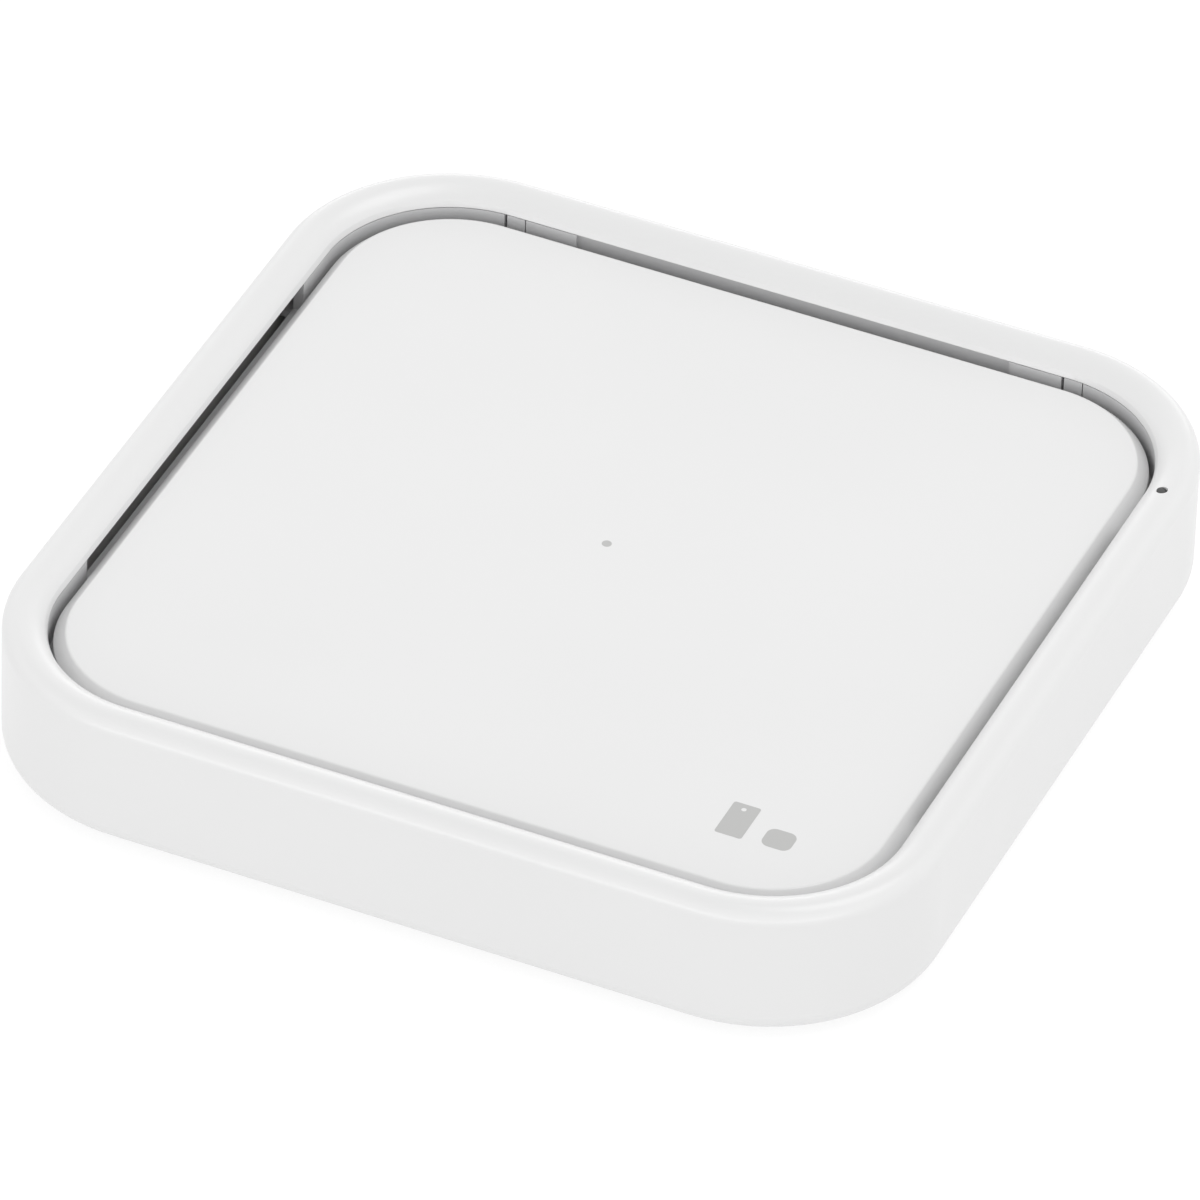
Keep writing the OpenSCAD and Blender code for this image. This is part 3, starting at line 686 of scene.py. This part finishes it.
def foot_outline(margin, sx, sy):
    """A foot's outline: a strip that turns the corner, grown or shrunk by a margin."""
    r_out, r_in = CORNER_R - FOOT_IN + margin, CORNER_R - FOOT_OUT - margin
    middle, end = (r_out + r_in) / 2, (r_out - r_in) / 2
    points = arc(0, 0, r_out, 0, 90, 20) + arc(-FOOT_RUN, middle, end, 90, 270, 12)
    points += arc(0, 0, r_in, 90, 0, 20) + arc(middle, -FOOT_RUN, end, 180, 360, 12)
    return [(sx * (STRAIGHT + x), sy * (STRAIGHT + y)) for x, y in points]


def build_feet(rubber):
    feet = Solid()
    steps = ((-0.3, 0), (-0.12, 0.06), (-0.03, 0.16), (0, 0.3), (0, 2 * FOOT_H))
    for sx, sy in CORNERS:
        feet.loft([at_height(foot_outline(grow, sx, sy), z) for grow, z in steps])
    finish(feet, "silicone_feet", "rubber_feet", [rubber])


def slot_outline(r_in, r_out, start, grow):
    """A banana slot between two spokes, 60 degrees apart, with round ends."""
    middle, half = (r_in + r_out) / 2, (r_out - r_in) / 2
    trim = 180 / pi * asin((0.85 + half) / middle)
    first, last = start + trim, start + 60 - trim
    points = arc(0, 0, r_out + grow, first, last, 12)
    for at, turn in ((last, 0), (first, 180)):
        a = radians(at)
        cap = arc(middle * cos(a), middle * sin(a), half + grow, at + turn, at + turn + 180, 8)
        points += cap[1:-1]
        if turn == 0:
            points += arc(0, 0, r_in - grow, last, first, 12)
    return points


def build_cover(plastic):
    """The base plate: soft edges, foot recesses, screw wells and the grille under the fan."""
    edge = HEM_W + 0.15
    outline = rounded([(9, FOOT_H, 0), (edge, FOOT_H, 0.25), (edge, COVER_TOP, 0.15),
                       (9, COVER_TOP, 0)])
    mesh = Solid().round_body(outline[::-1], closed=False).mesh()
    bosses = Solid()
    for places, r, top, soft, steps in ((at_corners(POST), 3.2, COVER_TOP + 0.8, 0.15, 32),
                                        (BOARD_HOLES, 2, BOARD_TOP - 1, 0.15, 32),
                                        (FAN_HOLES, 1.3, FOOT_H + 3.5, 0.1, 24)):
        for x, y in places:
            bosses.turned([(r, FOOT_H + 0.3), (r, top - soft), (r - soft, top)], x, y, steps)
    mesh = join(mesh, bosses)
    holes = Solid()
    for sx, sy in CORNERS:
        rings = ((0.25, FOOT_H - 0.2), (0.05, FOOT_H + 0.02), (0.05, 2 * FOOT_H))
        holes.loft([at_height(foot_outline(grow, sx, sy), z) for grow, z in rings])
    for places, r, top in ((BOARD_HOLES, 0.6, BOARD_TOP), (FAN_HOLES, 0.7, FOOT_H + 4)):
        for x, y in places:
            holes.turned([(r, COVER_TOP - 0.5), (r, top)], x, y, 20)
    rings = ((0.45, FOOT_H - 0.3), (0, FOOT_H + 0.15), (0, COVER_TOP - 0.1), (0.4, COVER_TOP + 0.3))
    slot_w = 1.5
    for r in (7.4, 9.9, 12.4):
        for start in range(0, 360, 60):
            holes.loft([at_height(slot_outline(r, r + slot_w, start, grow), z) for grow, z in rings])
    mesh = cut(mesh, holes)
    wells = Solid()
    for x, y in at_corners(POST):
        wells.turned([(1.9, 0), (1.9, FOOT_H + 1.3), (1.15, FOOT_H + 1.3), (1.15, COVER_TOP + 2)], x, y)
    finish(cut(mesh, wells), "base_cover", "bottom_cover", [plastic])


def build_indicator(smoked, clear, package):
    """A window in the sloping crown, the light pipe under it and the lamp on the board."""
    x, y = LED_AT
    slope = Matrix.Rotation(asin((HALF_W - x - SHOULDER_R) / CROWN_R), 4, "Y")
    top = BODY_H - CROWN_R + sqrt(CROWN_R ** 2 - (HALF_W - x - SHOULDER_R) ** 2)
    lens_r = LED_R - 0.02
    profile = ((lens_r, -0.75), (lens_r, -0.16), (lens_r * 0.92, -0.11), (lens_r * 0.6, -0.09),
               (lens_r * 0.2, -0.08))
    lens = Solid()
    rings = []
    for r, deep in profile:
        lean = slope if deep > -0.5 else Matrix.Identity(4)
        rings.append([Vector((x, y, top)) + lean @ Vector((px, py, 0)) + Vector((0, 0, deep))
                      for px, py in circle(r, steps=32)])
    finish(lens.loft(rings), "indicator_lens", "led_window", [smoked])
    pipe_top, pipe_foot = BODY_H - 1.15, BOARD_TOP + 0.75
    pipe = Solid().turned([(0.44, pipe_foot), (0.5, pipe_foot + 0.06), (0.5, pipe_top - 0.06),
                           (0.44, pipe_top)], x, y)
    finish(pipe, "indicator_pipe", "light_pipe", [clear])
    lamp = Solid().block(x, y, BOARD_TOP, (0.8, 1.6, 0.3), 0.03, 1)
    lamp.block(x, y, BOARD_TOP + 0.28, (0.76, 1.1, 0.3), 0.05, 0)
    lamp.turned([(0.3, BOARD_TOP + 0.56), (0.3, BOARD_TOP + 0.6), (0.2, BOARD_TOP + 0.65)], x, y, 20, 2)
    finish(lamp, "indicator_lamp", "status_led", package)


# ---- screws and coil stack


def plus_shape(reach, half):
    """A cross seen from above."""
    points, arm = [], [(reach, -half), (reach, half), (half, half)]
    for _ in range(4):
        points += arm
        arm = [(-y, x) for x, y in arm]
    return points


def build_screws(name, node, places, z, head, shank, steel, down=False):
    """Pan-head screws with a rolled thread and a cross recess, as (radius, height) pairs."""
    (head_r, head_h), (shank_r, length) = head, shank
    pitch, sides = 0.55 * shank_r + 0.2, 20
    rings = [at_height(circle(head_r * 0.62, steps=sides), -head_h)]
    rings += [at_height(circle(head_r * r, steps=sides), -head_h * h)
              for r, h in ((0.86, 0.86), (0.97, 0.6), (1, 0.3), (1, 0))]
    count = int(length / pitch * 8)
    for i in range(count + 1):
        z_at = length * i / count
        taper = min(1, 0.35 + (length - z_at) / (0.9 * pitch))
        ring = []
        for k in range(sides):
            wave = abs(2 * ((z_at / pitch - k / sides) % 1) - 1)
            r = shank_r * taper * (0.78 + 0.22 * max(0, wave * 1.6 - 0.6))
            ring.append((r * cos(2 * pi * k / sides), r * sin(2 * pi * k / sides), z_at))
        rings.append(ring)
    mesh = cut(Solid().loft(rings).mesh(), Solid().loft([
        at_height(plus_shape(0.62 * head_r, 0.15 * head_r), -head_h - 0.3),
        at_height(plus_shape(0.4 * head_r, 0.1 * head_r), -head_h * 0.35),
    ]))
    if down:
        mesh.transform(Matrix.Scale(-1, 4, (0, 0, 1)))
        mesh.flip_normals()
    bm = bmesh.new()
    for x, y in places:
        copy = mesh.copy()
        copy.transform(Matrix.Translation((x, y, z)) @ Matrix.Rotation(0.7 * x + y, 4, "Z"))
        bm.from_mesh(copy)
        bpy.data.meshes.remove(copy)
    bm.to_mesh(mesh)
    bm.free()
    finish(mesh, name, node, [steel])


def spiral_path():
    """The coil's centre line: half turns whose centres alternate, so each meets the next."""
    path = []
    for k in range(2 * COIL_TURNS):
        side = -1 if k % 2 == 0 else 1
        r = COIL_INNER + k * COIL_PITCH / 2
        steps = int(12 + r)
        for i in range(steps + (k == 2 * COIL_TURNS - 1)):
            a = pi / 2 + pi * k + pi * i / steps
            path.append(Vector((r * cos(a), side * COIL_PITCH / 4 + r * sin(a),
                                COIL_Z + WIRE_D / 2)))
    return path


def build_coil(copper, film, bead_epoxy, sleeve):
    path = spiral_path()
    dense = []
    for a, b in zip(path, path[1:]):
        dense += [a, (a + b) / 2]
    dense.append(path[-1])
    coil = Solid().tube(dense, WIRE_D / 2, 20, strands=5, lay=9.0)
    finish(coil, "litz_spiral", "transmitter_coil", [copper], angle=80)

    middle, under = COIL_Z + WIRE_D / 2, COIL_Z - 0.6
    inner_y = COIL_INNER - COIL_PITCH / 4
    outer_y = inner_y + COIL_TURNS * COIL_PITCH
    inner_lead = [
        (0.06, inner_y, middle), (1, inner_y - 0.1, middle), (2, inner_y - 0.6, middle - 0.4),
        (2.8, inner_y - 0.6, middle - 0.9), (3, inner_y + 0.4, under), (3, 14, under),
        (3, 20, under), (3, 27, under), (3, 30.5, 8.6), (3, 31.6, 7), (3, 32, 5.6), (3, 33, 5.2)]
    outer_lead = [
        (-0.06, outer_y, middle), (-1.5, outer_y + 0.1, middle), (-3, outer_y + 0.9, middle),
        (-4, outer_y + 2.8, middle), (-4, 28.5, middle - 1.2), (-4, 30.8, 8.6),
        (-4, 31.6, 7), (-4, 32, 5.6), (-4, 33, 5.2)]
    leads = Solid()
    for lead in (inner_lead, outer_lead):
        leads.tube(smooth_path(lead, 8), 0.5, 20, strands=5, lay=7.0)
        leads.turned([(0.75, 4.75), (0.68, 5.0), (0.45, 5.35)], lead[-1][0], lead[-1][1], 20, 1)
    finish(leads, "litz_leads", "coil_leads", [copper, sleeve], angle=80)

    low = PLATE_UNDER - 0.1
    tape = Solid().hoop(rounded([(COIL_INNER - 1, low, 0.02), (outer_y + 0.6, low, 0.02),
                                 (outer_y + 0.6, PLATE_UNDER, 0.02),
                                 (COIL_INNER - 1, PLATE_UNDER, 0.02)], 2), steps=96)
    finish(tape, "coil_tape", "coil_adhesive", [film])

    z = COIL_Z + 0.55
    bead = [(0.06, -0.5), (0.28, -0.42), (0.44, -0.2), (0.48, 0.05), (0.4, 0.28), (0.22, 0.44),
            (0.1, 0.5)]
    rings = [[(x, y, z + up) for x, up in circle(r, steps=20)] for r, y in bead]
    finish(Solid().loft(rings), "thermistor_bead", "thermistor", [bead_epoxy])
    route = [(0, 0.6, COIL_Z + 0.5), (0, 3, COIL_Z + 0.3), (0.6, 6, COIL_Z + 0.3),
             (0.9, 8, COIL_Z - 0.3), (1, 9.8, COIL_Z - 0.75), (1, 12, COIL_Z - 0.75),
             (1, 20, COIL_Z - 0.5), (1, 28, COIL_Z - 0.5), (1, 30.5, 8.6), (1, 31.4, 7),
             (1, 31.8, 5.4), (1, 33, 4.95)]
    wires = Solid()
    for aside in (0.2, 0.75):
        wires.tube([p + Vector((aside, 0, 0)) for p in smooth_path(route, 6)], 0.18, 12)
    finish(wires, "thermistor_wires", "thermistor_leads", [film], angle=60)


def build_pad(silicone):
    """The thermal pad, squeezed between the bridge chips and the shield so that it bulges."""
    low, high = BOARD_TOP + 0.9, SHIELD_Z + 0.05
    width, depth, x, y = 12.56, 5.96, -16, 21.8
    rings = []
    for k in range(9):
        t = k / 8
        swell = 0.44 * sin(pi * t)
        rings.append(at_height(rounded_box(width + swell, depth + swell, 0.5, x, y),
                               low + (high - low) * t))
    finish(Solid().loft(rings), "gap_filler", "thermal_pad", [silicone])


# ---- board and inlet


def build_inlet(steel, nylon, gold):
    back, lip = USB_MOUTH - USB_L, 0.09
    rings = []
    for grow, y in ((-lip, back), (0, back + lip), (0, USB_MOUTH - lip), (-lip, USB_MOUTH),
                    (lip - 2 * USB_WALL, USB_MOUTH), (-2 * USB_WALL, USB_MOUTH - lip),
                    (-2 * USB_WALL, back + lip), (lip - 2 * USB_WALL, back)):
        rings.append(slot_ring(USB_W + grow, USB_H + grow, y, USB_Z, 14))
    mesh = Solid().loft(rings, loop=True).mesh()
    dimples = Solid()
    for side in SIDES:
        dimples.block(side * 2.4, back + 3.2, BOARD_TOP + USB_H - 0.12, (1.2, 1.8, 0.4), 0.1)
    finish(cut(mesh, dimples), "inlet_shell", "usb_shell", [steel])

    w, h = USB_W - 2 * USB_WALL - 0.06, USB_H - 2 * USB_WALL - 0.06
    tongue = Solid().loft([slot_ring(w - less, h - less, back + y, USB_Z)
                           for less, y in ((0.1, -0.4), (0, -0.34), (0, 1.3), (0.2, 1.4))])
    tongue.loft([[(x, y, z) for x, z in rounded_box(wide, thick, 0.1, 0, USB_Z, 2)]
                 for wide, thick, y in ((6.7, 0.7, back + 1.2), (6.7, 0.7, back + 6.35),
                                        (6.5, 0.4, back + 6.6))])
    tongue.block(0, back + 2.1, USB_Z - 0.5, (6.9, 1.4, 1.0), 0.1)
    finish(tongue, "inlet_tongue", "usb_tongue", [nylon])

    pads, pitch, length = 12, 0.5, 3.1
    strips = Solid()
    for k in range(pads):
        for z in (USB_Z + 0.33, USB_Z - 0.38):
            long = length + (0.5 if k in (0, 3, 8, 11) else 0)
            strips.block((k - (pads - 1) / 2) * pitch, back + 2.7 + long / 2, z,
                         (0.26, long, 0.05), 0.02)
    finish(strips, "inlet_contacts", "usb_contacts", [gold])


def chip(solid, x, y, size, pitch=0.5):
    """A flat leadless package: moulded body, a row of pads on each side, a pin-one spot."""
    w, d, h = size
    solid.block(x, y, BOARD_TOP + 0.03, (w - 0.06, d - 0.06, h - 0.04), 0.06, 0)
    for along, across, flip in ((w, d, False), (d, w, True)):
        count = int((along - 1) / pitch)
        for k in range(count):
            shift = (k - (count - 1) / 2) * pitch
            for side in SIDES:
                px, py = shift, side * (across / 2 - 0.2)
                pad = (0.26, 0.4, 0.22)
                if flip:
                    px, py, pad = py, px, (pad[1], pad[0], pad[2])
                solid.block(x + px, y + py, BOARD_TOP, pad, 0.02, 1)
    solid.turned([(0.22, BOARD_TOP + h - 0.03), (0.22, BOARD_TOP + h - 0.002)],
                 x - w / 2 + 0.7, y + d / 2 - 0.7, 20, 2)


def passive(solid, x, y, size, along="y"):
    """A chip capacitor or resistor: its body between two soldered end caps."""
    w, d, h = size
    long = d if along == "y" else w
    cap = 0.22 * long
    body = (w - 0.06, d - cap, h - 0.05) if along == "y" else (w - cap, d - 0.06, h - 0.05)
    solid.block(x, y, BOARD_TOP + 0.02, body, 0.04 * h, 0)
    for side in SIDES:
        shift = side * (long - cap) / 2
        px, py, end = (x, y + shift, (w, cap, h)) if along == "y" else (x + shift, y, (cap, d, h))
        solid.block(px, py, BOARD_TOP, end, 0.08 * h, 1)


def build_board_parts(epoxy, tin, ceramic_tan, ceramic_dark, iron, white_dot, nylon):
    chips = {
        "qi_controller": ("wireless_controller", [(13, 32)], (6, 6, 0.85)),
        "bridge_packages": ("bridge_chips", [(-19.5, 21.8), (-12.5, 21.8)], (4, 4, 0.85)),
        "power_controller": ("power_delivery_chip", [(14, 39)], (4, 3, 0.8)),
    }
    for name, (node, places, size) in chips.items():
        solid = Solid()
        for x, y in places:
            chip(solid, x, y, size)
        finish(solid, name, node, [epoxy, tin, white_dot])

    small = [(8 + 2.2 * k, 27) for k in range(6)] + [(-32 + 2.2 * k, 26.5) for k in range(5)]
    small += [(-24 + 2.4 * k, 37) for k in range(3)]
    rows = {
        "resonant_bank": ("resonant_capacitors", [(-9 - 5.6 * k, 31) for k in range(4)],
                          (4.5, 3.2, 2.1), "x"),
        "bulk_bank": ("bulk_capacitors", [(22 + 3.6 * k, 26.5) for k in range(4)],
                      (2.5, 3.2, 1.9), "y"),
        "decoupling_row": ("small_capacitors", small, (0.8, 1.6, 0.8), "y"),
    }
    for name, (node, places, size, along) in rows.items():
        solid = Solid()
        for x, y in places:
            passive(solid, x, y, size, along)
        finish(solid, name, node, [ceramic_tan, tin])
    resistors = Solid()
    for k in range(8):
        passive(resistors, -6 + 1.8 * k, 23.5, (0.6, 1, 0.4), "y")
    for k in range(4):
        passive(resistors, 18.2, 30.4 + 1.6 * k, (1, 0.6, 0.4), "x")
    finish(resistors, "resistor_row", "small_resistors", [ceramic_dark, tin])

    choke, x, y, ridge = Solid(), 24, 36, BOARD_TOP + 2.5
    steps = ((5.6, 0.2), (6, 0.5), (6, 2.35), (5.7, 2.6))
    choke.loft([at_height(rounded_box(w, w, 0.8, x, y, 6), BOARD_TOP + z) for w, z in steps])
    choke.hoop(rounded([(1.75, ridge, 0), (2.6, ridge, 0), (2.6, ridge + 0.3, 0.1),
                        (1.75, ridge + 0.3, 0.1)], 2), x, y)
    choke.turned([(1.5, ridge), (1.5, ridge + 0.16), (1.4, ridge + 0.22)], x, y)
    for side in SIDES:
        choke.block(x + side * 2.2, y, BOARD_TOP, (1.5, 4.6, 0.3), 0.04, 1)
    finish(choke, "shielded_choke", "power_inductor", [iron, tin])

    x, y = 7.6, 36.5
    can = Solid().block(x, y, BOARD_TOP, (2.5, 3.2, 0.3), 0.03, 1)
    can.block(x, y, BOARD_TOP + 0.28, (2.4, 3.1, 0.1), 0.03, 0)
    can.loft([at_height(rounded_box(w, w + 0.7, 0.35, x, y), BOARD_TOP + z)
              for w, z in ((2.2, 0.34), (2.2, 0.64), (2.08, 0.7))])
    finish(can, "crystal_can", "crystal", [tin, ceramic_dark])

    x, y = 10, 20
    shell = Solid().block(x, y, BOARD_TOP, (4.4, 3.4, 2.2), 0.12).mesh()
    shell = cut(shell, Solid().block(x, y - 1, BOARD_TOP + 0.5, (3.4, 3.4, 3), 0.08))
    finish(shell, "cable_socket", "fan_socket", [nylon])
    plug = Solid().block(x, y - 0.6, BOARD_TOP + 0.55, (3.3, 2.4, 1.6), 0.1).mesh()
    windows = Solid()
    for side in SIDES:
        windows.block(x + side * 0.75, y - 0.5, BOARD_TOP + 1.95, (0.7, 1.1, 0.6), 0.03)
    finish(cut(plug, windows), "cable_plug", "fan_plug", [nylon])


# ---- cooling fan


def build_fan_wires(red, black):
    wires, plug_front, z = Solid(), 18.2, BOARD_TOP + 1.3
    for ink, s in ((0, -1), (1, 1)):
        route = [(9 + 0.5 * s, FAN_W / 2, 5.4), (9.2 + 0.5 * s, FAN_W / 2 + 0.7, 5.6),
                 (9.8 + 0.6 * s, plug_front - 0.7, z + 0.1), (10 + 0.7 * s, plug_front, z)]
        wires.tube(smooth_path(route, 8), 0.3, 16, ink)
    finish(wires, "fan_wires", "fan_cable", [red, black], angle=60)


def build_windings(copper):
    """Four coils of enamelled wire, wound loop by loop round the arms of the core."""
    wire, loops, pole_z, pole_h = 0.1, 6, FAN_Z + 1.4, 1.3
    coils = Solid()
    middle = Vector((0, pole_z + pole_h / 2))
    for pole in range(4):
        spin = Matrix.Rotation(pi / 2 * pole, 4, "Z")
        for loop in range(loops):
            x = 3.55 + (loop - (loops - 1) / 2) * 2 * wire
            for layer in (0, 1):
                out = 2 * wire * layer
                section = rounded_box(1.5 + 2 * out, pole_h + 0.3 + 2 * out, 0.15 + out, *middle, 3)
                rings = []
                for p in section:
                    away = (Vector(p) - middle).normalized()
                    ring = []
                    for k in range(8):
                        a = 2 * pi * k / 8
                        across = Vector(p) + wire * sin(a) * away
                        ring.append(spin @ Vector((x + wire * cos(a), *across)))
                    rings.append(ring)
                coils.loft(rings, loop=True)
    finish(coils, "pole_windings", "stator_windings", [copper], angle=80)


def blade_section():
    """A cambered aerofoil, as (along the rim, height) points."""
    camber_r, first, last = 4.75, 116.5, 167.5
    steps = 12
    sides = ([], [])
    for k in range(steps + 1):
        t = k / steps
        a = radians(first + (last - first) * t)
        thick = 0.5 * (0.30 + 0.70 * sin(pi * min(1, 0.15 + 0.85 * t)) ** 0.8) * 0.5
        for side, sign in zip(sides, (1, -1)):
            reach = camber_r + sign * thick
            side.append((reach * sin(a) - 2.8, ROTOR_Z + ROTOR_H / 2 - 3.6 - reach * cos(a)))
    return sides[0] + sides[1][::-1]


def build_impeller(plastic):
    cup_in, shaft_hole, top = 6.2, SHAFT_R, ROTOR_Z + ROTOR_H
    hub = rounded([
        (HUB_R, ROTOR_Z, 0.1), (HUB_R, top, 0.45), (shaft_hole, top, 0), (shaft_hole, ROTOR_Z + 2.4, 0.05),
        (1.4, ROTOR_Z + 2.4, 0.05), (1.4, top - 0.6, 0.2), (cup_in, top - 0.6, 0.3),
        (cup_in, ROTOR_Z, 0.1)])
    mesh = Solid().hoop(hub, steps=96).mesh()
    wings = Solid()
    stations = 9
    tip = DUCT_R - 0.55
    section = blade_section()
    for blade in range(BLADES):
        rings = []
        for k in range(stations):
            r = HUB_R - 0.25 + (tip - HUB_R + 0.25) * k / (stations - 1)
            ring = []
            for side, z in section:
                a = 2 * pi * blade / BLADES + side / r
                ring.append((r * cos(a), r * sin(a), z))
            rings.append(ring)
        wings.loft(rings)
    mesh = join(mesh, wings)
    cap = Solid().turned([(shaft_hole + 0.02, top - 0.8), (shaft_hole + 0.02, top)], steps=24)
    finish(join(mesh, cap), "fan_impeller", "impeller", [plastic],
           body="fan_rotor")


def build_fan_core(bronze, magnet_black, steel):
    base = FAN_Z + 0.6
    bush = Solid().hoop(rounded([(SHAFT_R + 0.03, base, 0.08), (BEARING_R, base, 0.12),
                                 (BEARING_R, base + 2.5, 0.12), (SHAFT_R + 0.03, base + 2.5, 0.08)]))
    finish(bush, "oiled_bush", "fan_bearing", [bronze])
    ring = Solid().hoop(rounded_box(0.8, 2.9, 0.12, 5.8, ROTOR_Z + 1.75), steps=72)
    finish(ring, "ring_magnet", "rotor_magnet", [magnet_black], body="fan_rotor")
    foot, head = base + 0.1, ROTOR_Z + ROTOR_H - 0.8
    pin = Solid().turned([(0.2, foot), (0.45, foot + 0.08), (SHAFT_R, foot + 0.25),
                          (SHAFT_R, head - 0.1), (SHAFT_R - 0.1, head)])
    finish(pin, "ground_shaft", "rotor_shaft", [steel], body="fan_rotor")


# ---- putting it together


def build_all():
    white = moulded_plastic("gloss_white", grey(0.625), 0.28, 0.08, 0.0004)
    satin = moulded_plastic("satin_white", grey(0.635), 0.36, 0.12, 0.0008)
    matte = moulded_plastic("matte_white", grey(0.76), 0.48, 0.18, 0.006)
    build_case(white)
    build_plate(satin)
    build_marks(moulded_plastic("mark_grey", (0.38, 0.38, 0.375), 0.5, 0.1, 0.0005))
    build_cover(matte)
    build_feet(soft_rubber("silicone_grey", grey(0.42)))
    smoked = moulded_plastic("window_black", (0.004, 0.004, 0.005), 0.3, 0.1, 0.0002)
    clear = clear_plastic("pipe_clear", (0.9, 0.93, 0.95))
    phosphor = moulded_plastic("lamp_phosphor", (0.85, 0.74, 0.25), 0.35, 0.05, 0.002)
    tin = metal("soldered_tin", (0.72, 0.72, 0.70), 0.28, depth=0.004)
    white_part = moulded_plastic("lamp_white", (0.82, 0.81, 0.78), 0.4, 0.08, 0.002)
    build_indicator(smoked, clear, [white_part, tin, phosphor])

    steel = metal("zinc_steel", (0.62, 0.63, 0.64), 0.3, depth=0.003)
    build_screws("case_fixings", "case_screws", at_corners(POST), FOOT_H + 1.3, (1.7, 0.7),
                 (0.95, 4.6), steel)
    build_screws("tray_fixings", "tray_screws", at_corners(EAR), TRAY_Z, (1.5, 0.5), (0.7, 2.2), steel)
    build_screws("board_fixings", "board_screws", BOARD_HOLES, BOARD_TOP, (1.6, 0.6), (0.5, 2.4),
                 steel, down=True)
    build_screws("fan_fixings", "fan_screws", FAN_HOLES, FAN_Z + FAN_H, (1.4, 0.6),
                 (0.6, FAN_H - 0.4), steel, down=True)

    copper = twisted_copper("litz_copper", (0.78, 0.36, 0.16))
    film = moulded_plastic("amber_film", (0.62, 0.36, 0.08), 0.2, 0.3, 0.002, 0.8)
    epoxy = ceramic("moulded_epoxy", (0.018, 0.018, 0.02), (0.035, 0.035, 0.036), 0.45, 12)
    build_coil(copper, film, epoxy, tin)
    build_pad(soft_rubber("gap_pad", (0.34, 0.45, 0.58)))
    gold = metal("contact_gold", (0.95, 0.70, 0.30), 0.2)
    nylon = moulded_plastic("black_nylon", (0.015, 0.015, 0.016), 0.42, 0.1, 0.002)
    build_inlet(metal("inlet_nickel", (0.66, 0.65, 0.62), 0.24, (1, 0.1, 1)), nylon, gold)
    tan = ceramic("capacitor_tan", (0.46, 0.34, 0.22), (0.36, 0.25, 0.15), 0.4)
    dark = ceramic("resistor_dark", (0.03, 0.03, 0.035), (0.06, 0.06, 0.065), 0.35)
    iron = ceramic("choke_iron", (0.11, 0.11, 0.115), grey(0.17), 0.5, 5)
    dot = moulded_plastic("pin_one_grey", grey(0.4), 0.4, 0.1, 0.001)
    ivory = moulded_plastic("socket_ivory", (0.80, 0.76, 0.64), 0.35, 0.12, 0.002)
    build_board_parts(epoxy, tin, tan, dark, iron, dot, ivory)

    red = moulded_plastic("wire_red", (0.55, 0.02, 0.02), 0.35, 0.15, 0.003)
    black = moulded_plastic("wire_black", grey(0.02), 0.35, 0.15, 0.003)
    build_fan_wires(red, black)
    build_windings(twisted_copper("enamel_copper", (0.62, 0.22, 0.08)))
    build_impeller(moulded_plastic("impeller_grey", (0.10, 0.10, 0.105), 0.34, 0.12, 0.001, 0.9))
    build_fan_core(metal("sintered_bronze", (0.58, 0.40, 0.20), 0.4, depth=0.006),
                   ceramic("bonded_magnet", (0.05, 0.05, 0.052), grey(0.10), 0.5, 8),
                   metal("ground_steel", (0.70, 0.70, 0.72), 0.12, (1, 1, 8)))

    board = solder_mask("green_board")
    for node in ("main_board", "fan_board"):
        dress(node, board)
    dress("vent_frame", moulded_plastic("frame_grey", (0.50, 0.50, 0.505), 0.4, 0.1, 0.001))
    dress("coil_tray", moulded_plastic("tray_white", (0.74, 0.74, 0.72), 0.45, 0.15, 0.002))
    dress("ferrite_plate", ceramic("ferrite_grey", (0.055, 0.055, 0.06), grey(0.1), 0.4, 3))
    dress("shield_plate", metal("rolled_aluminium", (0.80, 0.80, 0.81), 0.3, (0.08, 2, 1), 0.003))
    dress("fan_frame", moulded_plastic("fan_frame_black", (0.035, 0.035, 0.037), 0.42, 0.14, 0.002, 0.85))
    dress("stator_core", laminated_steel("core_sheets"))


add_camera()
add_lights()
add_floor()
build_all()
